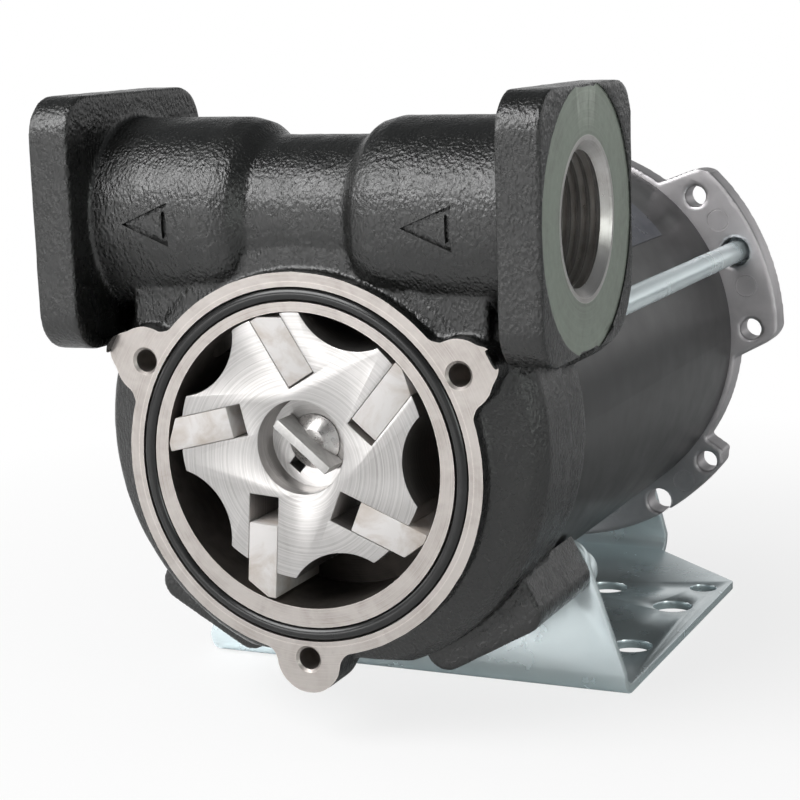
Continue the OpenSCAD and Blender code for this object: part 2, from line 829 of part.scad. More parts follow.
// Outline of the rear flange, seen from the front
module flange_outline() {
    circle(r = flange_r);
    for (s = [0, 1]) {
        mirror([s, 0]) disc_part(ear_reach, ear_from_angle, ear_to_angle, ear_slant_angle, motor_r);
        mirror([s, 0]) disc_part(low_ear_reach, low_ear_start_angle, low_ear_end_angle, low_ear_slant_angle,
            low_ear_root);
    }
}

// Holes of the rear flange on one side
module flange_holes() {
    for (a = small_hole_angles) {
        translate(hole_circle_r * [cos(a), sin(a)]) circle(r = small_hole_r);
    }
    translate(hole_circle_r * [cos(large_hole_angle), sin(large_hole_angle)])
        circle(r = large_hole_r);
}

module rear_end_bell() {
    color("#a7a9ad") placed() translate([0, 0, shaft_z]) difference() {
        union() {
            plate_y(motor_end, rear_flange_t) flange_outline();
            rod_y(bell_r, motor_end, bell_back - motor_end);
            rod_y(tube_in_r - fit_gap, motor_end - spigot_len, spigot_len + cut);
        }
        rod_y(tube_in_r - bell_wall, 0, motor_end + bell_wall);
        difference() {
            rod_y(tube_in_r - 2 * bell_wall, 0, rear_bearing_back);
            rod_y(bearing_r + bell_wall, rear_bearing_front, rear_bearing_back);
        }
        rod_y(bearing_r, 0, rear_bearing_back);
        for (a = rod_angles) {
            rod_y(rod_hole_r, 0, bell_back, rod_circle_r * cos(a), rod_circle_r * sin(a));
        }
        for (s = [0, 1]) {
            mirror([s, 0, 0]) plate_y(motor_end - cut, bell_back) flange_holes();
            mirror([s, 0, 0]) rod_y(tab_screw_d / 2, bell_back - bell_wall, bell_back,
                tab_screw_x, tab_screw_z - shaft_z);
        }
        rod_y(grommet_r, 0, bell_back + cut, grommet_circle_r * cos(grommet_angle),
            grommet_circle_r * sin(grommet_angle));
    }
}

// Insulating plate with the two brush boxes
module brush_holder() {
    color("#4a3426") placed() translate([0, 0, shaft_z]) difference() {
        union() {
            rod_y(tube_in_r - gap, holder_front, holder_t);
            for (s = [-1, 1]) {
                translate([s * (box_in + box_out) / 2, box_y + holder_t / 2, 0])
                    cube([box_out - box_in, brush_long + 2 * (brush_gap + box_wall) + holder_t,
                        brush_w + 2 * (brush_gap + box_wall)], center = true);
            }
        }
        rod_y(commutator_r + cut, 0, motor_end);
        for (s = [-1, 1]) {
            translate([s * (box_in + box_out - box_wall) / 2 - s * cut / 2, box_y, 0])
                cube([box_out - box_in - box_wall + cut, brush_long + 2 * brush_gap,
                    brush_w + 2 * brush_gap], center = true);
        }
    }
}

// Carbon brush with its end shaped to the commutator
module brush(s) {
    placed() translate([0, 0, shaft_z]) difference() {
        translate([s * (commutator_r + brush_out) / 2, box_y, 0])
            cube([brush_out - commutator_r, brush_long, brush_w], center = true);
        rod_y(commutator_r + fit_gap, 0, motor_end);
    }
}

module left_brush() {
    color("#2c2c2e") brush(-1);
}

module right_brush() {
    color("#2c2c2e") brush(1);
}

module brush_spring(s) {
    placed() translate([s * brush_out, box_y, shaft_z]) rotate([0, s * 90, 0])
        spring_z(brush_spring_r, brush_wire, box_out - box_wall - brush_out, 5);
}

module left_brush_spring() {
    color("#8f9399") brush_spring(-1);
}

module right_brush_spring() {
    color("#8f9399") brush_spring(1);
}

module tie_rods() {
    color("#b7c0c4") placed() for (a = rod_angles) {
        rod_y(rod_d / 2 - fit_gap, rod_front, rod_back - rod_front, rod_circle_r * cos(a),
            shaft_z + rod_circle_r * sin(a));
    }
}

module tie_rod_nuts() {
    color("#c3c9cc") placed() for (a = rod_angles) {
        translate([rod_circle_r * cos(a), motor_end + rear_flange_t,
            shaft_z + rod_circle_r * sin(a)]) rotate([-90, 0, 0]) difference() {
                cylinder(d = nut_af / cos(30), h = nut_t, $fn = 6);
                translate([0, 0, -cut]) cylinder(r = rod_d / 2, h = nut_t + 2 * cut);
            }
    }
}

module motor_label() {
    color("#2f3a4c") placed() translate([0, 0, shaft_z])
        plate_y(label_front, label_back - label_front) difference() {
            disc_part(motor_r + label_t, label_low_angle, label_high_angle);
            circle(r = motor_r);
        }
}

// Upright outline in x and z: straight tapering sides and round top corners
module upright_outline(half_low, half_top, low, top, r) {
    slope = (half_low - half_top) / (top - low);
    polygon([[-half_low, low], [half_low, low], [half_top + slope * r, top - r],
        [half_top + slope * r - r, top], [-half_top - slope * r + r, top],
        [-half_top - slope * r, top - r]]);
    for (s = [-1, 1]) {
        translate([s * (half_top + slope * r - r), top - r]) circle(r = r);
    }
}

// Quarter bend of the sheet from the base plate into an upright
module bend(half_w, y, towards) {
    translate([-half_w, y, foot_low + bend_out]) rotate([0, 90, 0]) difference() {
        cylinder(r = bend_out, h = 2 * half_w);
        translate([0, 0, -cut]) cylinder(r = bend_r, h = 2 * half_w + 2 * cut);
        translate([-bend_out - cut, -bend_out - cut, -cut])
            cube([bend_out + cut, 2 * bend_out + 2 * cut, 2 * half_w + 2 * cut]);
        translate([-bend_out - cut, towards > 0 ? 0 : -bend_out - cut, -cut])
            cube([2 * bend_out + 2 * cut, bend_out + cut, 2 * half_w + 2 * cut]);
    }
}

module foot_base() {
    front = foot_front + bend_out;
    back = foot_back + sheet_t - bend_out;
    half = foot_w / 2;
    translate([0, 0, foot_low]) linear_extrude(height = sheet_t) polygon([[-half, front],
        [half, front], [half, foot_side_back], [tab_half_low, back], [-tab_half_low, back],
        [-half, foot_side_back]]);
}

// Pressed rib that stiffens the front bend
module foot_rib(x) {
    inside = foot_front + sheet_t;
    translate([x - rib_w / 2, 0, 0]) rotate([90, 0, 90]) linear_extrude(height = rib_w)
        polygon([[inside - fit_gap, sheet_top - fit_gap], [inside + rib_leg + bend_r, sheet_top
            - fit_gap], [inside - fit_gap, sheet_top + rib_leg + bend_r]]);
}

module mounting_bracket() {
    back = foot_back + sheet_t - bend_out;
    color("#b9c9cf") placed() difference() {
        union() {
            foot_base();
            bend(foot_w / 2, foot_front + bend_out, 1);
            bend(tab_half_low, back, -1);
            plate_y(foot_front, sheet_t) upright_outline(foot_w / 2, upright_top_half,
                foot_low + bend_out, upright_top, upright_corner_r);
            plate_y(foot_back, sheet_t) upright_outline(tab_half_low, tab_half_top,
                foot_low + bend_out, tab_top, tab_corner_r);
            for (s = [-1, 1]) {
                foot_rib(s * rib_x);
            }
        }
        rod_y(motor_clear_r, foot_front - cut, rib_leg, 0, shaft_z);
        for (s = [-1, 1]) {
            rod_y(foot_screw_d / 2 + gap, foot_front - cut, sheet_t + 2 * cut,
                s * lug_screw_x, lug_screw_z);
            rod_y(tab_screw_d / 2 + gap, foot_back - cut, sheet_t + 2 * cut, s * tab_screw_x,
                tab_screw_z);
            for (y = [foot_hole_back, foot_hole_back + foot_hole_y]) {
                translate([s * foot_hole_x / 2, y, foot_low - cut])
                    cylinder(d = foot_hole_d, h = sheet_t + 2 * cut);
            }
            translate([s * inner_hole_x, inner_hole_back, foot_low - cut])
                cylinder(d = inner_hole_d, h = sheet_t + 2 * cut);
            translate([s * outer_hole_x, outer_hole_back, foot_low - cut])
                cylinder(d = outer_hole_d, h = sheet_t + 2 * cut);
        }
    }
}

module bracket_screws() {
    color("#c7cdd0") placed() for (s = [-1, 1]) {
        screw_y(foot_screw_d - 2 * fit_gap, foot_front + sheet_t, sheet_t + lug_tap_depth - screw_free,
            s * lug_screw_x, lug_screw_z);
    }
}

module rear_bracket_screws() {
    color("#c7cdd0") placed() for (s = [-1, 1]) {
        screw_y(tab_screw_d - 2 * fit_gap, foot_back + sheet_t, sheet_t + bell_wall / 2,
            s * tab_screw_x, tab_screw_z);
    }
}

// Grommet in the end bell for the supply cord
module cable_grommet() {
    wall_front = rear_bearing_back;
    inner = grommet_r - 2 * grommet_wall;
    outer = grommet_r + grommet_wall;
    color("#1c1c1c") placed() turned_y(grommet_circle_r * cos(grommet_angle),
        shaft_z + grommet_circle_r * sin(grommet_angle)) polygon([[inner, wall_front
            - grommet_wall], [outer, wall_front - grommet_wall], [outer, wall_front],
            [grommet_r, wall_front], [grommet_r, bell_back], [outer, bell_back], [outer,
            bell_back + grommet_wall], [inner, bell_back + 2 * grommet_wall]]);
}

module rotor() {
    color("#c9c6c4") placed() translate([0, 0, shaft_z]) difference() {
        rod_y(rotor_r, rotor_front, rotor_w);
        rod_y(hub_d / 2, 0, rotor_front + hub_depth);
        rod_y(shaft_r, 0, rotor_back + cut);
        rotate([0, -key_angle, 0]) translate([0, key_front, 0])
            cube([key_len + 2 * fit_gap, 2 * (key_depth + fit_gap), key_w + 2 * fit_gap],
                center = true);
        rotate([0, -key_angle - 90, 0]) translate([keyway_from, 0, -keyway_w / 2])
            cube([keyway_to - keyway_from, rotor_back + cut, keyway_w]);
        for (k = [0:vane_count - 1]) {
            rotate([0, -slot_dir(k), 0]) translate([slot_floor, 0, -slot_offset - slot_w / 2])
                cube([rotor_r, rotor_back + cut, slot_w]);
            rod_y(scallop_r, 0, rotor_back + cut, (scallop_floor + scallop_r)
                * cos(slot_dir(k) + scallop_lead_angle), (scallop_floor + scallop_r)
                * sin(slot_dir(k) + scallop_lead_angle));
        }
    }
}

module drive_key() {
    color("#d5d6d8") placed() translate([0, key_front + key_depth / 2, shaft_z])
        rotate([0, -key_angle, 0]) cube([key_len, key_depth, key_w], center = true);
}

// Shaft of the motor; its slotted end carries the drive key
module motor_shaft() {
    color("#b4b6ba") placed() translate([0, 0, shaft_z]) difference() {
        turned_y() polygon([[0, shaft_front - shaft_dome], [shaft_r / 2, shaft_front
            - shaft_dome * 3 / 4], [shaft_r, shaft_front + shaft_dome], [shaft_r, shaft_end],
            [0, shaft_end]]);
        rotate([0, -key_angle, 0]) translate([0, key_front, 0])
            cube([key_len, 2 * (key_depth + fit_gap), key_w + 2 * fit_gap], center = true);
    }
}

module armature_core() {
    color("#6b6d72") placed() translate([0, 0, shaft_z])
        plate_y(core_front, core_back - core_front) difference() {
            circle(r = core_r);
            circle(r = shaft_r);
            for (i = [0:coil_count - 1]) rotate(360 * i / coil_count) {
                translate([coil_circle_r, 0]) circle(r = coil_r);
                translate([coil_circle_r, -coil_r / 3]) square([core_r, 2 * coil_r / 3]);
            }
        }
}

// Copper bars in the core's slots, joined by the end turns
module armature_windings() {
    inner = commutator_r;
    outer = core_r - coil_cover;
    color("#a05a2c") placed() translate([0, 0, shaft_z]) union() {
        for (i = [0:coil_count - 1]) {
            rod_y(coil_r - fit_gap, core_front - cut, core_back - core_front + 2 * cut,
                coil_circle_r * cos(360 * i / coil_count), coil_circle_r
                * sin(360 * i / coil_count));
        }
        turned_y() polygon([[inner, core_back], [outer, core_back], [outer, core_back
            + coil_end / 2], [outer - coil_end / 2, core_back + coil_end], [inner, core_back
            + coil_end]]);
        turned_y() polygon([[inner, core_front - coil_end], [outer - coil_end / 2, core_front
            - coil_end], [outer, core_front - coil_end / 2], [outer, core_front], [inner,
            core_front]]);
    }
}

module commutator() {
    color("#b87333") placed() translate([0, 0, shaft_z]) difference() {
        rod_y(commutator_r, commutator_front, commutator_len);
        rod_y(shaft_r, 0, commutator_back + cut);
        for (i = [0:coil_count - 1]) rotate([0, 360 * i / coil_count, 0])
            translate([commutator_r - cut / 2, commutator_front - cut, -fit_gap * 4])
                cube([cut, commutator_len + 2 * cut, fit_gap * 8]);
    }
}

// Loose washer that the rotor and the vanes run against
module thrust_washer() {
    color("#8d8f93") placed() difference() {
        rod_y(washer_r, washer_front, washer_t, washer_x, washer_z);
        rod_y(washer_hole_r, washer_front - cut, washer_t + 2 * cut, washer_x, washer_z);
    }
}

// Vane with its bevelled outer end, at its place in slot k
module vane(k) {
    out = vane_out(k);
    back = out - vane_len;
    bevel = vane_t * vane_bevel_share;
    rise = bevel * vane_bevel_rise_share;
    low = -slot_offset - vane_t / 2;
    placed() translate([0, rotor_front + fit_gap, shaft_z]) rotate([0, -slot_dir(k), 0])
        translate([0, vane_w, 0]) rotate([90, 0, 0]) linear_extrude(height = vane_w)
            polygon([[back, low], [out - rise, low], [out, low + bevel], [out, low + vane_t],
                [back, low + vane_t]]);
}

module vane_1() {
    color("#dcd8d3") vane(0);
}

module vane_2() {
    color("#dcd8d3") vane(1);
}

module vane_3() {
    color("#dcd8d3") vane(2);
}

module vane_4() {
    color("#dcd8d3") vane(3);
}

module vane_5() {
    color("#dcd8d3") vane(4);
}

pump_body();
cover_o_ring();
bypass_poppet();
bypass_spring();
bypass_cap();
bypass_cap_seal();
shaft_seal();
front_bearing_outer();
rear_bearing_outer();
motor_front_plate();
front_plate_screws();
motor_tube();
field_magnets();
magnet_clips();
rear_end_bell();
brush_holder();
left_brush();
right_brush();
left_brush_spring();
right_brush_spring();
tie_rods();
tie_rod_nuts();
motor_label();
mounting_bracket();
bracket_screws();
rear_bracket_screws();
cable_grommet();
rotor();
drive_key();
motor_shaft();
front_bearing_inner();
front_bearing_balls();
rear_bearing_inner();
rear_bearing_balls();
armature_core();
armature_windings();
commutator();
thrust_washer();
vane_1();
vane_2();
vane_3();
vane_4();
vane_5();
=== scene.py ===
# %% [markdown]
# # A rotary vane fuel pump on its motor
#
# The pump lies on its sheet metal foot with its front cover off, so that the slotted rotor, its
# five vanes and the seal ring show. The solids of the frame already have the right sizes. What this
# lesson adds is what a foundry, a machine shop and a paint shop leave behind: soft edges on the
# casting, crisp edges where a tool has cut, and a finish on every piece.

import json
import math

import bmesh
import bpy
from mathutils import Matrix, Vector


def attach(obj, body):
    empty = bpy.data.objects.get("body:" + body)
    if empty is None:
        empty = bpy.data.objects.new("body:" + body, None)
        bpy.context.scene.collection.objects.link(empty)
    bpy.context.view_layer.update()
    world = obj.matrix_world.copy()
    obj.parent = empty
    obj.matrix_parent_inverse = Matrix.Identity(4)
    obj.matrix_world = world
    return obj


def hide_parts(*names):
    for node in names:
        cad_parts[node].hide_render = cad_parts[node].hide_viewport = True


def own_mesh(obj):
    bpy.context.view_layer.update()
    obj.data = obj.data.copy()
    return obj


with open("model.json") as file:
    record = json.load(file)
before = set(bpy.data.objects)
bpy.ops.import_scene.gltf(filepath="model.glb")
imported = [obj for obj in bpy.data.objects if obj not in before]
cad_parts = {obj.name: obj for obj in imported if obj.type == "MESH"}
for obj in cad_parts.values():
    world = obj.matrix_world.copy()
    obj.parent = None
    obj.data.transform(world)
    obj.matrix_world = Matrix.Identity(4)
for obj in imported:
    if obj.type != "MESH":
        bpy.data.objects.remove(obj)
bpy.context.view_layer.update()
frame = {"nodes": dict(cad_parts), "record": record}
nodes = frame["nodes"]
print("nodes in the frame:", len(nodes))

# %% [markdown]
# ## The pump's own frame
#
# A drawing of the pump counts from the middle of the machined ring: x runs across the two ports,
# y back along the motor and z up, all in millimetres. The frame stands on the foot instead. One
# small function turns a point of the drawing into a point of the scene, and another goes back, so
# that every later cell can use the numbers of the drawing.

# %% From the drawing to the scene
MM = 0.001
FOOT_BACK = 87.0
CENTRE_UP = 53.4
SHAFT_UP = 3.5


def place(x, y, z):
    """A point of the drawing, in metres of the scene."""
    return Vector((x, y - FOOT_BACK, z + CENTRE_UP)) * MM


def drawn(point):
    """A point of the scene, in millimetres of the drawing."""
    return point / MM + Vector((0, FOOT_BACK, -CENTRE_UP))


ring_centre = place(0, 0, 0)
print("the ring's centre is at", ring_centre)

# %% [markdown]
# ## The camera
#
# The photograph was taken from the front, a little from the right and from above, with a lens that
# is rather long. The angles and the place were found by fitting circles and corners of the pump to
# the picture. The camera looks along minus z of its own frame, so its three axes are built from the
# angles and written into its matrix.

# %% Camera
PHOTO_YAW, PHOTO_PITCH, PHOTO_ROLL = (math.radians(a) for a in (24.34, 10.76, -1.85))
CAMERA_AT = (162.5, -315.0, 78.9)
SENSOR = 36.0
FOCAL_PIXELS, PICTURE_PIXELS = 2020.7, 800
NEAREST = 0.01

look = Vector((
    -math.sin(PHOTO_YAW) * math.cos(PHOTO_PITCH),
    math.cos(PHOTO_YAW) * math.cos(PHOTO_PITCH),
    -math.sin(PHOTO_PITCH),
))
level = Vector((math.cos(PHOTO_YAW), math.sin(PHOTO_YAW), 0))
upward = level.cross(look)
right = level * math.cos(PHOTO_ROLL) + upward * math.sin(PHOTO_ROLL)
top = upward * math.cos(PHOTO_ROLL) - level * math.sin(PHOTO_ROLL)

camera_data = bpy.data.cameras.new("camera")
camera_data.sensor_width = SENSOR
camera_data.lens = SENSOR * FOCAL_PIXELS / PICTURE_PIXELS
camera_data.clip_start = NEAREST
camera = bpy.data.objects.new("camera", camera_data)
turn = Matrix((right, top, -look)).transposed().to_4x4()
camera.matrix_world = Matrix.Translation(place(*CAMERA_AT)) @ turn
bpy.context.scene.collection.objects.link(camera)
bpy.context.scene.camera = camera
print("lens", round(camera_data.lens, 1), "mm")

# %% [markdown]
# ## Helpers for materials
#
# A material is a small net of nodes. Wiring it by hand takes one line for each node and one for
# each link. The helpers below make a node, set its values and link whatever is given as another
# node's output, so that a net reads like a nested sum.

# %% Node helpers
def add(tree, kind, values=None, **settings):
    """A shader node with its settings; values are numbers, colours or outputs to link."""
    node = tree.nodes.new("ShaderNode" + kind)
    for key, value in settings.items():
        setattr(node, key, value)
    for key, value in (values or {}).items():
        if isinstance(value, bpy.types.NodeSocket):
            tree.links.new(value, node.inputs[key])
        else:
            node.inputs[key].default_value = value
    return node


def maths(tree, operation, *values):
    """The result of a Math node on two or three values."""
    return add(tree, "Math", dict(enumerate(values)), operation=operation).outputs[0]


def colour(r, g, b):
    """An opaque colour."""
    return (r, g, b, 1.0)


def lighter(shade, times):
    """A colour made brighter, up to white."""
    return colour(*(min(1.0, times * v) for v in shade))


def ramp(tree, value, stops):
    """A colour ramp through (place, colour) stops."""
    node = add(tree, "ValToRGB", {0: value})
    points = node.color_ramp.elements
    while len(points) < len(stops):
        points.new(0.5)
    for point, (where, shade) in zip(points, stops):
        point.position = where
        point.color = shade
    return node.outputs["Color"]


def masked(tree, value, low, high):
    """A mask that rises from 0 at low to 1 at high."""
    node = add(tree, "MapRange", {"Value": value, "From Min": low, "From Max": high})
    return node.outputs["Result"]


def mixed(tree, share, first, second):
    """The first colour where share is 0, the second where it is 1."""
    return add(tree, "Mix", {0: share, 6: first, 7: second}, data_type="RGBA").outputs[2]


def material(name, metallic=0.0, **plain):
    """A new material with a Principled BSDF; plain values are set on the shader's own sockets."""
    made = bpy.data.materials.new(name)
    made.use_nodes = True
    tree = made.node_tree
    shader = tree.nodes["Principled BSDF"]
    shader.inputs["Metallic"].default_value = metallic
    for key, value in plain.items():
        shader.inputs[key.replace("_", " ")].default_value = value
    return made, tree, shader


def feed(tree, shader, **wires):
    """Links outputs to the shader's sockets by their names."""
    for key, value in wires.items():
        tree.links.new(value, shader.inputs[key.replace("_", " ")])


def bump(tree, height, strength, distance):
    """A normal tilted by a height; distance is in millimetres."""
    values = {"Height": height, "Strength": strength, "Distance": distance * MM}
    return add(tree, "Bump", values).outputs["Normal"]


def millimetres(tree, centre=(0, 0, 0)):
    """Object coordinates in millimetres, counted from a point of the drawing."""
    start = add(tree, "TexCoord").outputs["Object"]
    shift = [-v / MM for v in place(*centre)]
    values = {"Vector": start, "Scale": (1 / MM,) * 3, "Location": shift}
    return add(tree, "Mapping", values).outputs["Vector"]


def noise(tree, vector, size, detail=4.0, rough=0.5):
    """Noise whose patches are about size millimetres across."""
    values = {"Vector": vector, "Scale": 1 / size, "Detail": detail, "Roughness": rough}
    return add(tree, "TexNoise", values).outputs["Fac"]


print("helpers ready")

# %% [markdown]
# ## Effects that several finishes share
#
# Handling and machining leave the same kinds of trace on many metals. Each effect is a node group
# with named inputs and outputs, built once and placed wherever a finish needs it:
#
# - *smudges* puts out a cloudy mask for oil, fingerprints and stains;
# - *tool marks* puts out fine rings about an axis, as a lathe or a face mill leaves;
# - *edge wear* puts out a mask along sharp edges.

# %% Helpers for node groups
FLOAT, VECTOR = "NodeSocketFloat", "NodeSocketVector"


def group(name, inputs, output):
    """An empty node group; inputs are (name, kind, default), and the one output is a number."""
    tree = bpy.data.node_groups.new(name, "ShaderNodeTree")
    for title, kind, start in inputs:
        socket = tree.interface.new_socket(title, in_out="INPUT", socket_type=kind)
        socket.default_value = start
    tree.interface.new_socket(output, in_out="OUTPUT", socket_type=FLOAT)
    return tree, tree.nodes.new("NodeGroupInput").outputs, tree.nodes.new("NodeGroupOutput").inputs


def dot(tree, first, second):
    """The dot product of two vectors."""
    return add(tree, "VectorMath", {0: first, 1: second}, operation="DOT_PRODUCT").outputs["Value"]


def use(tree, made, values):
    """The output of a node group placed in a material."""
    node = add(tree, "Group", node_tree=made)
    for key, value in values.items():
        if isinstance(value, bpy.types.NodeSocket):
            tree.links.new(value, node.inputs[key])
        else:
            node.inputs[key].default_value = value
    return node.outputs[0]


print("sockets are made as", FLOAT, "and", VECTOR)

# %% [markdown]
# Smudges are cloudy noise with most of it cut off: only its high patches count. A little distortion
# keeps the patches from looking round.

# %% Group: smudges
smudges, given, result = group("smudges", [("Vector", VECTOR, (0, 0, 0)), ("Size", FLOAT, 8.0)], "Mask")
share = maths(smudges, "DIVIDE", 1.0, given["Size"])
values = {"Vector": given["Vector"], "Scale": share, "Detail": 6.0, "Roughness": 0.62}
cloud = add(smudges, "TexNoise", {**values, "Distortion": 0.8}).outputs["Fac"]
smudges.links.new(masked(smudges, cloud, 0.42, 0.68), result["Mask"])
print("group:", smudges.name)

# %% [markdown]
# A tool turns about an axis. On a face across the axis its marks are rings, so the pattern follows
# the distance from the axis. On a bore they are a fine thread, so there it follows the distance
# along the axis. The surface's normal says which of the two applies, and noise in one dimension
# makes rings of uneven strength.

# %% Group: tool marks
tool_marks, given, result = group(
    "tool marks",
    [("Vector", VECTOR, (0, 0, 0)), ("Axis", VECTOR, (0, 1, 0)), ("Pitch", FLOAT, 0.3)],
    "Height",
)
along = dot(tool_marks, given["Vector"], given["Axis"])
ahead = add(tool_marks, "VectorMath", {0: given["Axis"], "Scale": along}, operation="SCALE")
flat = add(tool_marks, "VectorMath", {0: given["Vector"], 1: ahead.outputs[0]}, operation="SUBTRACT")
radius = add(tool_marks, "VectorMath", {0: flat.outputs[0]}, operation="LENGTH").outputs["Value"]
normal = add(tool_marks, "NewGeometry").outputs["Normal"]
facing = maths(tool_marks, "ABSOLUTE", dot(tool_marks, normal, given["Axis"]))
on_face = maths(tool_marks, "GREATER_THAN", facing, 0.5)
step = add(tool_marks, "Mix", {0: on_face, 2: along, 3: radius}).outputs[0]
turns = maths(tool_marks, "DIVIDE", step, given["Pitch"])
values = {"W": turns, "Scale": 1.0, "Detail": 3.0, "Roughness": 0.7}
rings = add(tool_marks, "TexNoise", values, noise_dimensions="1D").outputs["Fac"]
tool_marks.links.new(rings, result["Height"])
print("group:", tool_marks.name)

# %% [markdown]
# Handling rubs the edges first. A bevelled normal is the normal that the surface would have with
# round edges, so where it differs from the true one there is an edge. Noise makes the rubbed line
# ragged.

# %% Group: edge wear
edge_wear, given, result = group(
    "edge wear", [("Vector", VECTOR, (0, 0, 0)), ("Radius", FLOAT, 0.0004)], "Mask"
)
soft = add(edge_wear, "Bevel", {"Radius": given["Radius"]}, samples=4).outputs[0]
true = add(edge_wear, "NewGeometry").outputs["Normal"]
bent = maths(edge_wear, "SUBTRACT", 1.0, dot(edge_wear, soft, true))
values = {"Vector": given["Vector"], "Scale": 1.5, "Detail": 4.0}
ragged = add(edge_wear, "TexNoise", values).outputs["Fac"]
worn = maths(edge_wear, "MULTIPLY", bent, ragged)
edge_wear.links.new(masked(edge_wear, worn, 0.02, 0.12), result["Mask"])
print("groups:", [g.name for g in bpy.data.node_groups])

# %% [markdown]
# ## The painted casting
#
# The body is cast iron from a sand mould, sprayed with a black that is nearly glossy. The sand
# leaves grains of about half a millimetre under the paint, so highlights break up into speckles.
# The colour stays almost the same everywhere. The grain is a bump from small rounded cells with
# fine and broad noise on top, and the gloss changes slowly over the surface.

# %% Finish: painted sand casting
casting_paint, tree, shader = material("painted sand casting", Specular_IOR_Level=0.7)
point = millimetres(tree)
values = {"Vector": point, "Rotation": (0.3, 0.7, 0.5), "Scale": (1.0, 1.0, 0.6)}
slanted = add(tree, "Mapping", values).outputs["Vector"]
values = {"Vector": slanted, "Scale": 1.7, "Smoothness": 0.6}
grain = add(tree, "TexVoronoi", values, feature="SMOOTH_F1").outputs["Distance"]
fine = noise(tree, slanted, 0.42, 3.0, 0.6)
broad = noise(tree, point, 2.6, 3.0)
height = maths(tree, "MULTIPLY_ADD", fine, 1.3, grain)
height = maths(tree, "MULTIPLY_ADD", broad, 1.1, height)
tone = ramp(
    tree,
    noise(tree, point, 5.0, 5.0),
    [(0.35, colour(0.0035, 0.0037, 0.0034)), (0.7, colour(0.0065, 0.0066, 0.006))],
)
dust = masked(tree, fine, 0.6, 0.9)
feed(
    tree,
    shader,
    Base_Color=mixed(tree, dust, tone, colour(0.014, 0.0125, 0.013)),
    Roughness=masked(tree, noise(tree, point, 3.0, 4.0), -0.3, 2.7),
    Normal=bump(tree, height, 0.8, 0.15),
)
print(casting_paint.name)

# %% [markdown]
# ## Bare machined iron
#
# Where the tool has cut, there is no paint: the ring face, the chamber, the threads and the discs
# round the ports. Bare iron is a warm light grey. It keeps fine rings from the tool and picks up
# thin brownish stains. The tool went round each bore, so a finish is given its axis. The port
# discs are tinted greenish as a painted reflection, and the chamber's wall and floor are painted
# darker, the floor nearly black, as painted shade in the recess round the rotor.

# %% Finish: machined iron
RUBBED = 0.3
PORT_UP, PORT_BACK = 43.2, 17.8


def machined(name, bright, dull, centre=(0, 0, 0), axis=(0, 1, 0), pitch=0.22, matt=2.1):
    """Iron that a tool has cut in rings about an axis through a point of the drawing."""
    made, tree, shader = material(name, metallic=1.0)
    point = millimetres(tree, centre)
    marks = use(tree, tool_marks, {"Vector": point, "Axis": axis, "Pitch": pitch})
    stain = use(tree, smudges, {"Vector": point, "Size": 6.0})
    worn = use(tree, edge_wear, {"Vector": point, "Radius": RUBBED * MM})
    tone = mixed(tree, stain, colour(*bright), colour(*dull))
    tone = mixed(tree, masked(tree, marks, 0.3, 0.8), tone, lighter(bright, 1.12))
    feed(
        tree,
        shader,
        Base_Color=mixed(tree, worn, tone, lighter(bright, 1.5)),
        Roughness=masked(tree, noise(tree, point, 1.2, 5.0), -0.9, matt),
        Normal=bump(tree, marks, 0.16, 0.03),
    )
    return made


about_ports = {"centre": (0, PORT_BACK, PORT_UP), "axis": (1, 0, 0)}
bare_iron = machined("turned iron", (0.42, 0.39, 0.37), (0.29, 0.262, 0.242))
# The port discs' greenish tint is a painted reflection of greenish surroundings; the milled iron itself
# is grey.
disc_iron = machined(
    "milled port disc with painted greenish reflection", (0.33, 0.37, 0.32), (0.27, 0.29, 0.255), pitch=0.9, **about_ports
)
thread_iron = machined(
    "threaded iron", (0.58, 0.565, 0.55), (0.36, 0.335, 0.315), matt=3.4, **about_ports
)
# The chamber's wall and floor are painted darker, the floor nearly black: painted shade in the recess
# round the rotor.
chamber_iron_painted_shade = machined("chamber wall with painted shade", (0.20, 0.18, 0.165), (0.10, 0.09, 0.08))
floor_iron_painted_shade = machined("chamber floor with painted shade", (0.035, 0.031, 0.028), (0.018, 0.016, 0.015))
print(bare_iron.name, disc_iron.name, thread_iron.name, chamber_iron_painted_shade.name, floor_iron_painted_shade.name)

# %% [markdown]
# ## The other metals
#
# Most of the other metal pieces differ in tone, gloss and the size of their traces only, so one
# function makes them all: a tone and a stained tone in clouds, tool marks or not, and brighter
# edges where handling has rubbed them.

# %% Finish: a family of bare and plated metals
SPECK = 0.5


def metal(name, bright, dull, rough, cloud, marks=0.0, relief=0.004, metallic=1.0):
    """A metal with clouds of a duller tone, rubbed edges, and tool marks or specks as relief."""
    made, tree, shader = material(name, metallic=metallic)
    point = millimetres(tree)
    stain = use(tree, smudges, {"Vector": point, "Size": cloud})
    worn = use(tree, edge_wear, {"Vector": point, "Radius": RUBBED * MM})
    tone = mixed(tree, stain, colour(*bright), colour(*dull))
    light = lighter(bright, 1.25)
    if marks:
        height = use(tree, tool_marks, {"Vector": point, "Pitch": marks})
        tone = mixed(tree, masked(tree, height, 0.35, 0.7), tone, light)
    else:
        height = noise(tree, point, SPECK, 4.0, 0.6)
    gloss = noise(tree, point, cloud / 3, 4.0)
    feed(
        tree,
        shader,
        Base_Color=mixed(tree, worn, tone, light),
        Roughness=masked(tree, gloss, -rough * 4.4, 5.2 - rough * 3.2),
        Normal=bump(tree, height, 0.3, relief),
    )
    return made


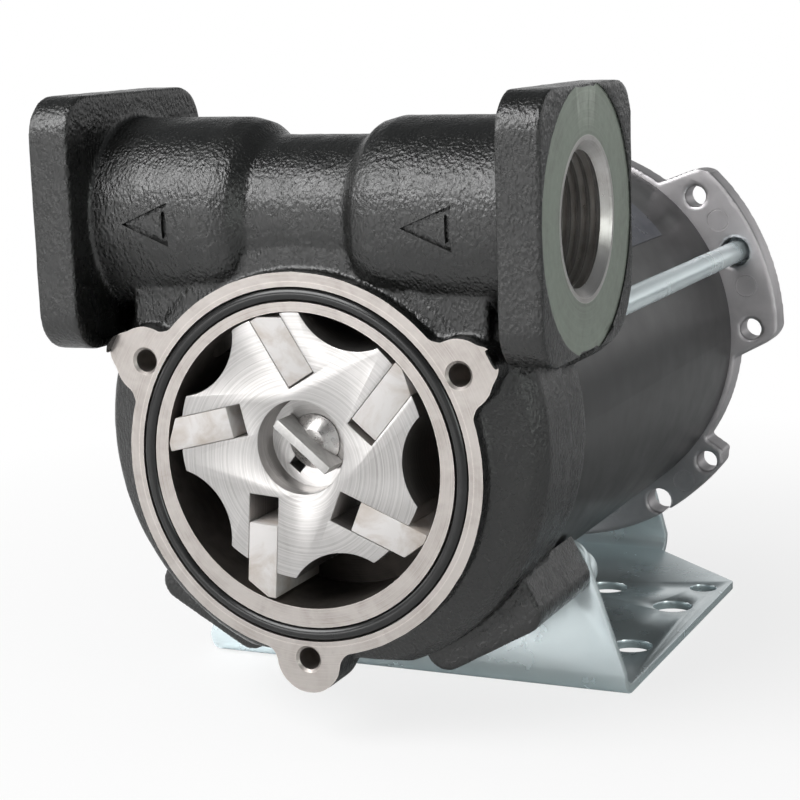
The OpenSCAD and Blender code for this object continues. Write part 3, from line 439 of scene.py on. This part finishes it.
finishes = {
    "sintered": metal(
        "turned sintered steel", (0.45, 0.438, 0.43), (0.375, 0.362, 0.352), 0.36, 9.0, marks=0.45
    ),
    "zinc": metal(
        "blue zinc plating", (0.86, 0.955, 0.98), (0.82, 0.925, 0.955), 0.2, 24.0, relief=0.0008,
        metallic=0.55,
    ),
    "aluminium": metal(
        "die cast aluminium", (0.56, 0.54, 0.55), (0.47, 0.455, 0.465), 0.5, 10.0, relief=0.012
    ),
    "bright": metal("ground steel", (0.74, 0.74, 0.75), (0.62, 0.61, 0.60), 0.3, 5.0),
    "key": metal("sawn key steel", (0.60, 0.59, 0.58), (0.48, 0.47, 0.46), 0.8, 3.0),
    "shaft": metal("turned shaft steel", (0.50, 0.49, 0.48), (0.36, 0.34, 0.33), 0.24, 3.0),
    "spring": metal("spring wire", (0.5, 0.51, 0.53), (0.33, 0.33, 0.34), 0.3, 2.0),
    "copper": metal("copper", (0.72, 0.36, 0.20), (0.45, 0.20, 0.11), 0.3, 4.0),
    "laminated": metal("stacked steel sheets", (0.34, 0.34, 0.36), (0.2, 0.19, 0.19), 0.4, 5.0),
}
print(sorted(finishes))

# %% [markdown]
# ## Paint, rubber, vanes and the rest
#
# The pieces that aren't bare metal get a second family: a base tone, a second tone in clouds, a
# gloss and a small grain. The seal ring is oiled rubber, the tube a smooth satin black, and the
# vanes an off-white that oil has smudged brown.

# %% Finish: a family of paints, rubbers and mouldings
def coating(name, base, second, rough, cloud=6.0, grain=0.5, relief=0.02):
    """A non-metal with clouds of a second tone and a small grain."""
    made, tree, shader = material(name)
    point = millimetres(tree)
    stain = use(tree, smudges, {"Vector": point, "Size": cloud})
    gloss = noise(tree, point, cloud / 2, 4.0)
    feed(
        tree,
        shader,
        Base_Color=mixed(tree, stain, colour(*base), colour(*second)),
        Roughness=masked(tree, gloss, -rough * 4.0, 5.4 - rough * 3),
        Normal=bump(tree, noise(tree, point, grain, 3.0, 0.6), 0.3, relief),
    )
    return made


finishes.update({
    "tube": coating(
        "satin black paint", (0.0085, 0.0087, 0.0085), (0.012, 0.012, 0.012), 0.36, 14.0,
        relief=0.0015,
    ),
    "rubber": coating(
        "oiled rubber", (0.006, 0.006, 0.006), (0.012, 0.012, 0.012), 0.2, 3.0, 0.3, 0.008
    ),
    "vane": coating(
        "smudged vane", (0.56, 0.54, 0.53), (0.40, 0.35, 0.312), 0.5, 7.0, 0.35, 0.012
    ),
    "label": coating(
        "dark film", (0.03, 0.036, 0.06), (0.042, 0.05, 0.075), 0.3, 8.0, 0.3, 0.005
    ),
    "seal": coating("moulded rubber", (0.03, 0.02, 0.017), (0.05, 0.04, 0.035), 0.5),
    "ferrite": coating("sintered ferrite", (0.045, 0.045, 0.05), (0.07, 0.068, 0.066), 0.6),
    "carbon": coating("brush carbon", (0.03, 0.03, 0.032), (0.05, 0.05, 0.05), 0.5),
    "phenolic": coating("laminated phenolic", (0.11, 0.06, 0.03), (0.08, 0.04, 0.022), 0.4),
})
print(sorted(finishes))

# %% [markdown]
# ## Each node gets its finish
#
# One table says which pieces wear which finish. Pieces that are given a better copy later wear it
# too, so that nothing is ever without a finish.

# %% Dressing the nodes
VANES = ["vane_%d" % n for n in range(1, 6)]
WEARS = {
    "rubber": ["cover_o_ring", "bypass_cap_seal", "cable_grommet"],
    "seal": ["shaft_seal"],
    "sintered": ["rotor"],
    "key": ["drive_key"],
    "bright": [
        "bypass_poppet", "thrust_washer",
        "front_bearing_outer", "front_bearing_inner", "front_bearing_balls",
        "rear_bearing_outer", "rear_bearing_inner", "rear_bearing_balls",
    ],
    "zinc": [
        "mounting_bracket", "bracket_screws", "rear_bracket_screws", "tie_rods", "tie_rod_nuts",
        "bypass_cap", "front_plate_screws", "magnet_clips",
    ],
    "aluminium": ["rear_end_bell", "motor_front_plate"],
    "tube": ["motor_tube"],
    "label": ["motor_label"],
    "ferrite": ["field_magnets"],
    "carbon": ["left_brush", "right_brush"],
    "phenolic": ["brush_holder"],
    "shaft": ["motor_shaft"],
    "spring": ["bypass_spring", "left_brush_spring", "right_brush_spring"],
    "copper": ["armature_windings", "commutator"],
    "laminated": ["armature_core"],
    "vane": VANES,
}


def dress(obj, *materials):
    """Gives an object its materials, in the order of its slots."""
    obj.data.materials.clear()
    for finish in materials:
        obj.data.materials.append(finish)


for finish, names in WEARS.items():
    for name in names:
        dress(nodes[name], finishes[finish])
dress(nodes["pump_body"], casting_paint)
print("dressed nodes:", sum(len(names) for names in WEARS.values()) + 1)

# %% [markdown]
# ## Helpers for meshes
#
# A node of the frame comes as loose triangles. A copy whose doubles are merged is a closed shell
# again, and can be remeshed, cut and bevelled. The frame's own shading normals don't fit a changed
# mesh, so a copy drops them.

# %% Shells and objects
SAME_POINT = 0.001


def shell_of(name):
    """A merged copy of a node of the frame."""
    shell = bmesh.new()
    shell.from_mesh(nodes[name].data)
    bmesh.ops.remove_doubles(shell, verts=shell.verts, dist=SAME_POINT * MM)
    return shell


def solid(name, shell):
    """A shell put into the scene as an object."""
    mesh = bpy.data.meshes.new(name)
    shell.to_mesh(mesh)
    shell.free()
    if "custom_normal" in mesh.attributes:
        mesh.attributes.remove(mesh.attributes["custom_normal"])
    obj = bpy.data.objects.new(name, mesh)
    bpy.context.scene.collection.objects.link(obj)
    return obj


def crisp(obj, angle):
    """Smooth shading with sharp edges above an angle."""
    obj.data.polygons.foreach_set("use_smooth", [True] * len(obj.data.polygons))
    obj.data.set_sharp_from_angle(angle=math.radians(angle))


print("points closer than", SAME_POINT, "mm become one")

# %% [markdown]
# Most cutters here are things that a lathe would make, so they are spun from a profile. A profile
# is a list of (radius, distance along the axis), and three kinds of it come again and again: a bar,
# a bar with a step, and a ring. The other cutters are prisms, extruded from a face.

# %% Turned solids and prisms
def bar(radius, start, end):
    """The profile of a plain bar."""
    return [(0, start), (radius, start), (radius, end), (0, end)]


def stepped(radius, start, step, next_radius, end):
    """The profile of a bar whose radius changes at step."""
    return bar(radius, start, step)[:3] + bar(next_radius, step, end)[1:]


def ring(inner, outer, start, end):
    """The closed profile of a ring."""
    return [(inner, start), (outer, start), (outer, end), (inner, end), (inner, start)]


def turned(shell, profile, centre, along="y", steps=96):
    """Spins a profile about an axis through centre, into a closed solid."""
    axis = Vector((1, 0, 0)) if along == "x" else Vector((0, 1, 0))
    side = Vector((0, 0, 1))
    verts = [shell.verts.new(centre + (axis * far + side * out) * MM) for out, far in profile]
    edges = [shell.edges.new(pair) for pair in zip(verts, verts[1:])]
    bmesh.ops.spin(
        shell, geom=verts + edges, cent=centre, axis=axis, angle=2 * math.pi, steps=steps,
        use_merge=True,
    )
    bmesh.ops.remove_doubles(shell, verts=shell.verts, dist=SAME_POINT * MM)
    bmesh.ops.recalc_face_normals(shell, faces=shell.faces)
    return shell


def draw_out(shell, faces, reach):
    """Extrudes faces along y."""
    made = bmesh.ops.extrude_face_region(shell, geom=faces)
    moved = [v for v in made["geom"] if isinstance(v, bmesh.types.BMVert)]
    bmesh.ops.translate(shell, verts=moved, vec=Vector((0, reach, 0)) * MM)


def prism(name, outline, start, reach):
    """A closed prism: an outline of (x, z) of the drawing, drawn out along y from start."""
    shell = bmesh.new()
    face = shell.faces.new([shell.verts.new(place(x, start, z)) for x, z in outline])
    draw_out(shell, [face], reach)
    bmesh.ops.recalc_face_normals(shell, faces=shell.faces)
    return solid(name, shell)


print("a stepped bar is turned from", len(stepped(2, 0, 1, 1, 2)), "points")

# %% [markdown]
# A modifier does its work anew for each picture until it is applied. The pieces here are finished
# once, so every helper ends with a plain mesh. The manifold solver cuts closed meshes quickly, and
# all of these are closed.

# %% Modifiers and cuts
def settle(obj):
    """Applies the object's modifiers to its mesh."""
    graph = bpy.context.evaluated_depsgraph_get()
    made = bpy.data.meshes.new_from_object(obj.evaluated_get(graph))
    obj.modifiers.clear()
    obj.data = made


def carve(obj, cutter, operation="DIFFERENCE"):
    """Cuts obj with a closed cutter, and removes the cutter."""
    modifier = obj.modifiers.new("cut", "BOOLEAN")
    modifier.operation = operation
    modifier.solver = "MANIFOLD"
    modifier.object = cutter
    settle(obj)
    bpy.data.objects.remove(cutter)


def even_cells(obj, cell, rounds):
    """Makes a mesh of small even cells and smooths it, which rounds every edge alike."""
    cells = obj.modifiers.new("cells", "REMESH")
    cells.mode = "VOXEL"
    cells.voxel_size = cell * MM
    soften = obj.modifiers.new("soften", "SMOOTH")
    soften.factor = 0.5
    soften.iterations = rounds


def thin_out(obj, share):
    """Keeps a share of the faces, and applies all that was added before."""
    obj.modifiers.new("fewer", "DECIMATE").ratio = share
    settle(obj)


CELL = 0.45
print("cells are", CELL, "mm")

# %% [markdown]
# ## The casting, step by step as in the foundry
#
# A casting is soft all over: the pattern has fillets, and sand can't hold a sharp edge. Then the
# machine shop cuts flat faces and bores through that soft skin, and these cuts are crisp. The
# quickest way to both is to work in the same order:
#
# 1. take the body with its machined faces grown outwards and its bores plugged, as the raw casting;
# 2. turn it into small even cells (a voxel remesh) and smooth them, which rounds every edge alike;
# 3. cut the machined faces and bores into it.
#
# The bores themselves come from the exact body, as sleeves cut out round each of them, so the
# threads and the seal's groove stay sharp.

# %% Sizes of the casting
CHAMBER_R, CHAMBER_UP = 27.25, 0.9
SLEEVE_R, SLEEVE_BACK = 33.5, 21.0
PORT_FACE, SPOT_R = 48.8, 23.8
PORT_SLEEVE_R, PORT_SLEEVE_IN = 14.6, 28.0
EAR_CIRCLE, EAR_ANGLES = 36.0, (30, 150, 270)
TAP_R, TAP_STRAIGHT, TAP_DEEP = 2.1, 12, 13
FACED_R = 43.2
TUBE_R, ARROWS = 18.3, (-29.6, 25.8)
OVER = 3
FLAT = 0.01

port_middle = place(0, PORT_BACK, PORT_UP)


def ear_at(angle):
    """The middle of an ear's tapped hole, as x and z of the drawing."""
    return EAR_CIRCLE * math.cos(math.radians(angle)), EAR_CIRCLE * math.sin(math.radians(angle))


ears = [place(x, 0, z) for x, z in map(ear_at, EAR_ANGLES)]
print("the ears are at", ears)

# %% [markdown]
# The raw casting is the exact body with its ring face drawn out by 2 mm and with plugs in its
# bores. A plug is a little narrower than the sleeve that comes there later, or a little wider than
# a tapped hole, so that no two walls lie in one place. A ring covers each arrow, which is cut again
# when the skin is rounded.

# %% The raw casting
GROWN = 2.0
PLUG_GAP = 0.4
PORT_PLUG_IN, PORT_PLUG_STEP, SPOT_GAP = 26, 48, 1.5
COVER_R, COVER_HALF = 16.6, 6.5

raw = shell_of("pump_body")
front = [
    face for face in raw.faces
    if abs(face.calc_center_median().y - ring_centre.y) < FLAT * MM and face.normal.y < -0.99
]
draw_out(raw, front, -GROWN)
plugs = bmesh.new()
turned(plugs, bar(SLEEVE_R - PLUG_GAP, -GROWN, SLEEVE_BACK), ring_centre)
for ear in ears:
    turned(plugs, bar(TAP_R + PLUG_GAP, -GROWN, TAP_DEEP), ear, steps=24)
for side in (-1, 1):
    inner, step, outer = (side * at for at in (PORT_PLUG_IN, PORT_PLUG_STEP, PORT_FACE + PLUG_GAP))
    turned(plugs, stepped(PORT_SLEEVE_R, inner, step, SPOT_R - SPOT_GAP, outer), port_middle, "x")
for x in ARROWS:
    turned(plugs, ring(COVER_R, TUBE_R, x - COVER_HALF, x + COVER_HALF), port_middle, "x")
plug_mesh = bpy.data.meshes.new("plugs")
plugs.to_mesh(plug_mesh)
plugs.free()
raw.from_mesh(plug_mesh)
casting = solid("pump_casting", raw)
print("raw casting:", len(casting.data.polygons), "faces")

# %% [markdown]
# The voxel remesh makes one skin of the body and its plugs, and smoothing rounds it. Clouds push
# the skin in and out by less than a tenth of a millimetre, as sand does. The small cells have done
# their work by then, so four faces out of five go.

# %% Rounding the raw casting
SMOOTHED, SAND_WAVE, SAND_HIGH, KEPT = 7, 0.0035, 0.16, 0.2

even_cells(casting, CELL, SMOOTHED)
sand = bpy.data.textures.new("sand", "CLOUDS")
sand.noise_scale = SAND_WAVE
sand.noise_depth = 2
waves = casting.modifiers.new("waves", "DISPLACE")
waves.texture = sand
waves.texture_coords = "LOCAL"
waves.strength = SAND_HIGH * MM
waves.mid_level = 0.5
thin_out(casting, KEPT)
print("rounded casting:", len(casting.data.polygons), "faces")

# %% [markdown]
# One cutter faces the ring and opens the room for the chamber's sleeve. It is just narrow enough
# to pass under the port flanges. A second one drills the three tapped holes with their
# countersinks, and spot faces both ports.

# %% Machining the casting
CUTTER_FRONT, SINK_FRONT, SINK_WIDE, SINK_DEEP = -5, -1, 1.5, 0.5

cutters = bmesh.new()
turned(cutters, stepped(FACED_R, CUTTER_FRONT, 0, SLEEVE_R, SLEEVE_BACK), ring_centre)
carve(casting, solid("front_cutter", cutters))
cutters = bmesh.new()
tap = [
    (0, SINK_FRONT), (TAP_R + SINK_WIDE, SINK_FRONT), (TAP_R, SINK_DEEP), (TAP_R, TAP_STRAIGHT),
    (0, TAP_DEEP),
]
for ear in ears:
    turned(cutters, tap, ear, steps=32)
for side in (-1, 1):
    inner, step, outer = (side * at for at in (PORT_SLEEVE_IN, PORT_FACE, PORT_FACE + OVER))
    turned(cutters, stepped(PORT_SLEEVE_R, inner, step, SPOT_R, outer), port_middle, "x", 128)
carve(casting, solid("drills", cutters))
print("machined casting:", len(casting.data.polygons), "faces")

# %% [markdown]
# ## Flow arrows
#
# Two arrows are cast into the tubes: a sunk line round a triangle, which points the way the fuel
# flows. The line is a prism with a smaller prism taken out, and a cylinder a little smaller than
# the tube keeps it from going deeper than a real cast mark.

# %% Arrows
ARROW_LONG, ARROW_HIGH, ARROW_LINE, ARROW_DEEP = 9.4, 8.0, 1.05, 0.8
ARROW_FRONT, ARROW_REACH, CORE_HALF = -3, 12, 9


def wedge(name, x, inside):
    """A triangular prism that points to -x, smaller by inside all round."""
    slope = math.hypot(ARROW_LONG, ARROW_HIGH / 2) / (ARROW_HIGH / 2)
    tip = x - ARROW_LONG / 2 + inside * slope
    back = x + ARROW_LONG / 2 - inside
    half = (back - tip) * ARROW_HIGH / 2 / ARROW_LONG
    outline = [(tip, PORT_UP), (back, PORT_UP + half), (back, PORT_UP - half)]
    return prism(name, outline, ARROW_FRONT - inside, ARROW_REACH + 2 * inside)


for x in ARROWS:
    line = wedge("arrow_line", x, 0.0)
    carve(line, wedge("arrow_middle", x, ARROW_LINE))
    core = bar(TUBE_R - ARROW_DEEP, x - CORE_HALF, x + CORE_HALF)
    carve(line, solid("arrow_core", turned(bmesh.new(), core, port_middle, "x")))
    carve(casting, line)
print("arrows cut at x =", ARROWS)

# %% [markdown]
# The tool leaves bare iron and the rest is painted, so each face's place says what it wears. The
# ring face is iron wherever its plane was cut, apart from what lies under the flanges. The walls of
# the tapped holes are iron too, and the spot faces are milled discs.

# %% Finishes of the casting
CASTING_SHARP = 32
RING_TOP, RING_R = 25, 36
PAINT, TURNED, MILLED = range(3)


def finish_of(centre, normal):
    """The number of the finish on a face of the casting."""
    x, y, z = drawn(centre)
    if abs(y) < FLAT and normal.y < -0.9 and (z < RING_TOP or math.hypot(x, z) < RING_R):
        return TURNED
    if abs(abs(x) - PORT_FACE) < FLAT and abs(normal.x) > 0.9:
        return MILLED
    nearest = min(math.hypot(x - ear_x, z - ear_z) for ear_x, ear_z in map(ear_at, EAR_ANGLES))
    return TURNED if nearest < TAP_R + 0.8 and y < TAP_DEEP + 0.5 else PAINT


dress(casting, casting_paint, bare_iron, disc_iron)
for face in casting.data.polygons:
    face.material_index = finish_of(face.center, face.normal)
crisp(casting, CASTING_SHARP)
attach(casting, "housing")
print("turned faces:", sum(face.material_index == TURNED for face in casting.data.polygons))

# %% [markdown]
# ## Sleeves with the exact bores
#
# Each sleeve is the part of the exact body inside a cylinder round a bore: the chamber with its
# seal groove, and the two threaded ports. They are bare iron all over, and meet the casting in a
# plane that was cut at the same depth.

# %% Sleeves
SLEEVE_SHARP = 28
WALL, FLOOR = 1, 2
GROOVE_DEEP, FLOOR_FROM = 0.3, 16


def sleeve(name, profile, centre, along, *irons):
    """The exact body inside a turned solid."""
    body = solid(name, shell_of("pump_body"))
    keep = turned(bmesh.new(), profile, centre, along, 128)
    carve(body, solid(name + "_keep", keep), "INTERSECT")
    dress(body, *irons)
    crisp(body, SLEEVE_SHARP)
    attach(body, "housing")
    print(name, len(body.data.polygons), "faces")
    return body


chamber = sleeve(
    "chamber_sleeve", bar(SLEEVE_R, -1, SLEEVE_BACK), ring_centre, "y",
    bare_iron, chamber_iron_painted_shade, floor_iron_painted_shade,
)
# The chamber's wall and floor faces get the finishes with painted shade.
for face in chamber.data.polygons:
    x, y, z = drawn(face.center)
    if y > GROOVE_DEEP and math.hypot(x, z - CHAMBER_UP) < CHAMBER_R + 0.1:
        face.material_index = FLOOR if y > FLOOR_FROM else WALL
for side, name in ((1, "inlet_sleeve"), (-1, "outlet_sleeve")):
    inside = bar(PORT_SLEEVE_R, side * PORT_SLEEVE_IN, side * (PORT_FACE + OVER))
    sleeve(name, inside, port_middle, "x", thread_iron)
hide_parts("pump_body")

# %% [markdown]
# ## Rounded edges on the pieces that show
#
# No real edge is perfectly sharp: sheet metal is deburred, nuts are tumbled, vanes are ground. A
# narrow bevel catches the light along each edge and tells the eye how big the piece is. Each copy
# below is cleaned of its flat triangle edges first, so that the bevel follows real edges only, and
# then stands in its node's place.

# %% Bevelled copies
SHARP, BEVEL_ANGLE, BEVEL_STEPS = 40, 38, 2
body_of = {
    name: body for body, names in frame["record"]["behaviour"]["bodies"].items() for name in names
}


def stand_in(piece, name, finish):
    """Finishes a copy of a node and puts it in the node's place."""
    dress(piece, finish)
    crisp(piece, SHARP)
    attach(piece, body_of[name])
    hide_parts(name)


def softened(name, width, finish):
    """A copy of a node with its edges bevelled."""
    shell = shell_of(name)
    bmesh.ops.dissolve_limit(
        shell, angle_limit=math.radians(1), verts=shell.verts, edges=shell.edges
    )
    piece = solid(name + "_softened", shell)
    edges = piece.modifiers.new("edges", "BEVEL")
    edges.width = width * MM
    edges.segments = BEVEL_STEPS
    edges.limit_method = "ANGLE"
    edges.angle_limit = math.radians(BEVEL_ANGLE)
    edges.use_clamp_overlap = False
    settle(piece)
    stand_in(piece, name, finish)
    return piece


SOFTENED = {
    "rotor": (0.2, "sintered"),
    "drive_key": (0.1, "key"),
    "mounting_bracket": (0.3, "zinc"),
    "tie_rod_nuts": (0.2, "zinc"),
    "bracket_screws": (0.15, "zinc"),
    "rear_bracket_screws": (0.15, "zinc"),
    "bypass_cap": (0.2, "zinc"),
    **{name: (0.18, "vane") for name in VANES},
}
for name, (width, finish) in SOFTENED.items():
    piece = softened(name, width, finishes[finish])
    print(piece.name, len(piece.data.polygons), "faces")

# %% [markdown]
# ## The springs
#
# A coil spring is pressed shorter when its poppet or brush moves back, so a stiff form can run
# into the part it pushes. Each spring here is a plain copy of its node with a mesh of its own; it
# keeps its full length and doesn't shorten over the stroke of 3 mm.


def coil(name):
    """A copy of a spring with a mesh of its own, standing in its node's place."""
    piece = solid(name + "_coil", shell_of(name))
    stand_in(piece, name, finishes["spring"])
    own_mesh(piece)


coil("bypass_spring")
coil("left_brush_spring")
coil("right_brush_spring")

# %% [markdown]
# ## The rear end bell
#
# The bell closes the motor and carries the tie rods. It is die cast, so all its edges are a little
# round. The same small cells and a few rounds of smoothing give that.

# %% The bell's skin
BELL_SMOOTHED, BELL_KEPT = 4, 0.25

bell = solid("rear_end_bell_cast", shell_of("rear_end_bell"))
even_cells(bell, CELL, BELL_SMOOTHED)
thin_out(bell, BELL_KEPT)
print("bell:", len(bell.data.polygons), "faces")

# %% [markdown]
# The corners of the ears are rounder than smoothing makes them. A cutter takes off what lies
# outside a circle that touches both edges: the ear's outer edge, which is square to the spoke
# through the corner, and its side, which runs in to a root point. The circle's middle lies on the
# line that halves the corner.

# %% Round ear corners
BELL_FRONT = 136.7
EAR_REACH, EAR_ROOT, EAR_ROUND, EAR_MIDDLE = 53.6, 42.6, 6.0, 24.5
EAR_CORNERS = ((0.5, -7.5), (47.5, 55.5))
ARC_STEPS, CLEAR, CUT_FRONT, CUT_REACH = 8, 2, 2, 12


def spoke(side, angle, reach):
    """A point of the bell, from the shaft's axis."""
    turn = math.radians(angle)
    return Vector((side * math.cos(turn), math.sin(turn))) * reach


def ear_corner(side, tip_angle, root_angle):
    """A cutter for one corner of an ear."""
    corner = spoke(side, tip_angle, EAR_REACH)
    outward = corner.normalized()
    edge = (spoke(side, root_angle, EAR_ROOT) - corner).normalized()
    across = Vector((edge.y, -edge.x))
    if across.dot(corner - spoke(side, EAR_MIDDLE, EAR_REACH)) < 0:
        across.negate()
    hub = corner - (outward + across) * EAR_ROUND / (1 + outward.dot(across))
    points = [
        hub + outward * EAR_ROUND,
        hub + outward * (EAR_ROUND + CLEAR),
        corner + (outward + across) * CLEAR,
        hub + across * (EAR_ROUND + CLEAR),
    ]
    for step in range(ARC_STEPS):
        share = step / ARC_STEPS
        points.append(hub + (across * (1 - share) + outward * share).normalized() * EAR_ROUND)
    outline = [(p.x, p.y + SHAFT_UP) for p in points]
    return prism("ear_corner", outline, BELL_FRONT - CUT_FRONT, CUT_REACH)


for side in (-1, 1):
    for tip_angle, root_angle in EAR_CORNERS:
        carve(bell, ear_corner(side, tip_angle, root_angle))
print("round corners:", 2 * len(EAR_CORNERS))

# %% [markdown]
# Pins push the bell out of its die and leave shallow ring marks on the flange. Each mark is a
# narrow ring with sloping sides, cut 0.16 mm deep, on both sides of the middle.

# %% Ejector marks
PIN_PLACES = ((39.5, 30.6), (46.1, 15.6), (31.2, -31.3), (13.0, -38.4))
PIN_MARK = [(2.2, -0.3), (2.7, -0.3), (2.55, 0.16), (2.35, 0.16), (2.2, -0.3)]

marks = bmesh.new()
for x, z in PIN_PLACES:
    for side in (-1, 1):
        turned(marks, PIN_MARK, place(side * x, BELL_FRONT, z), steps=32)
carve(bell, solid("pin_marks", marks))
dress(bell, finishes["aluminium"])
crisp(bell, SHARP)
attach(bell, "housing")
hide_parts("rear_end_bell")
print("rear end bell:", len(bell.data.polygons), "faces")

# %% [markdown]
# ## The table
#
# The pump stands on a plain white table. The camera sees the table mostly as plain white, with one
# fifth less of that close to the pump. So the picture has a white ground and a faint shadow, while
# the light on the pump stays at a plain level.

# %% Floor
TABLE_HALF, SHADOW_FROM, SHADOW_FULL, SHADOW_SHARE = 4.0, 0.24, 0.06, 0.2

table_shell = bmesh.new()
bmesh.ops.create_grid(table_shell, x_segments=1, y_segments=1, size=TABLE_HALF)
table = solid("floor", table_shell)
table_finish, tree, shader = material(
    "white table", Roughness=0.6, Base_Color=colour(0.85, 0.85, 0.85)
)
glow = add(tree, "Emission", {"Color": colour(1, 1, 1), "Strength": 1.0})
spot = add(tree, "TexCoord").outputs["Object"]
far = add(tree, "VectorMath", {0: spot}, operation="LENGTH").outputs["Value"]
near = masked(tree, far, SHADOW_FROM, SHADOW_FULL)
camera_ray = add(tree, "LightPath").outputs["Is Camera Ray"]
seen = maths(tree, "MULTIPLY", camera_ray, maths(tree, "MULTIPLY_ADD", near, -SHADOW_SHARE, 1.0))
blend = add(tree, "MixShader", {0: seen, 1: shader.outputs[0], 2: glow.outputs[0]})
tree.links.new(blend.outputs[0], tree.nodes["Material Output"].inputs["Surface"])
dress(table, table_finish)
print("table:", 2 * TABLE_HALF, "m wide")

# %% [markdown]
# ## The studio round the pump
#
# Light path nodes let one world look different to different rays. The camera sees plain white.
# Glossy paint and metal see a bright wall that fades out at about 25 degrees above the horizon,
# and a dim room above it, which gives them their long highlights and dark parts. All the rest gets
# a weak even light.

# %% World
AMBIENT, WALL_BRIGHT, WALL_FADES, WALL_FULL = 0.18, 0.9, 0.42, 0.15

world = bpy.data.worlds.new("studio")
bpy.context.scene.world = world
world.use_nodes = True
tree = world.node_tree
ray = add(tree, "LightPath").outputs
ambient = tree.nodes["Background"]
ambient.inputs["Color"].default_value = colour(0.9, 0.93, 0.95)
ambient.inputs["Strength"].default_value = AMBIENT
white = add(tree, "Background", {"Color": colour(1, 1, 1), "Strength": 1.0})
heading = add(tree, "TexCoord").outputs["Generated"]
height = add(tree, "SeparateXYZ", {0: heading}).outputs["Z"]
backdrop = maths(tree, "MULTIPLY", masked(tree, height, WALL_FADES, WALL_FULL), WALL_BRIGHT)
glossy = maths(tree, "MULTIPLY", ray["Is Glossy Ray"], backdrop)
seen = maths(tree, "MAXIMUM", ray["Is Camera Ray"], ray["Is Transmission Ray"])
seen = maths(tree, "MAXIMUM", seen, glossy)
blend = add(tree, "MixShader", {0: seen, 1: ambient.outputs[0], 2: white.outputs[0]})
tree.links.new(blend.outputs[0], tree.nodes["World Output"].inputs["Surface"])
print("world:", world.name)

# %% [markdown]
# ## Lamps
#
# The main lamp is a wide soft box above and to the left of the camera, so the tops of the tubes
# shine and the grain shows. A second one lights the left flange, a low one in front lifts the foot
# and the front of the barrel, and a weak greenish one on the right tints the port's disc.

# %% Lamps
AIM = place(0, 20, 0)


def lamp(name, where, wide, high, watts, tint=(1, 1, 1)):
    """A soft lamp that points at the middle of the pump."""
    data = bpy.data.lights.new(name, "AREA")
    data.shape = "RECTANGLE"
    data.size = wide
    data.size_y = high
    data.energy = watts
    data.color = tint
    obj = bpy.data.objects.new(name, data)
    obj.location = where
    obj.rotation_euler = (AIM - Vector(where)).to_track_quat("-Z", "Y").to_euler()
    bpy.context.scene.collection.objects.link(obj)
    print("lamp", name, watts, "W")


lamp("key", (-0.30, -0.56, 0.60), 0.6, 0.42, 6.7)
lamp("left", (-0.9, -0.1, 0.35), 0.4, 0.4, 1.4)
lamp("front", (-0.42, -1.0, 0.12), 0.4, 0.22, 1.3)
lamp("right", (0.85, -0.5, 0.3), 0.3, 0.35, 1.3, (0.93, 1.0, 0.95))
bpy.context.scene.view_settings.view_transform = "Standard"
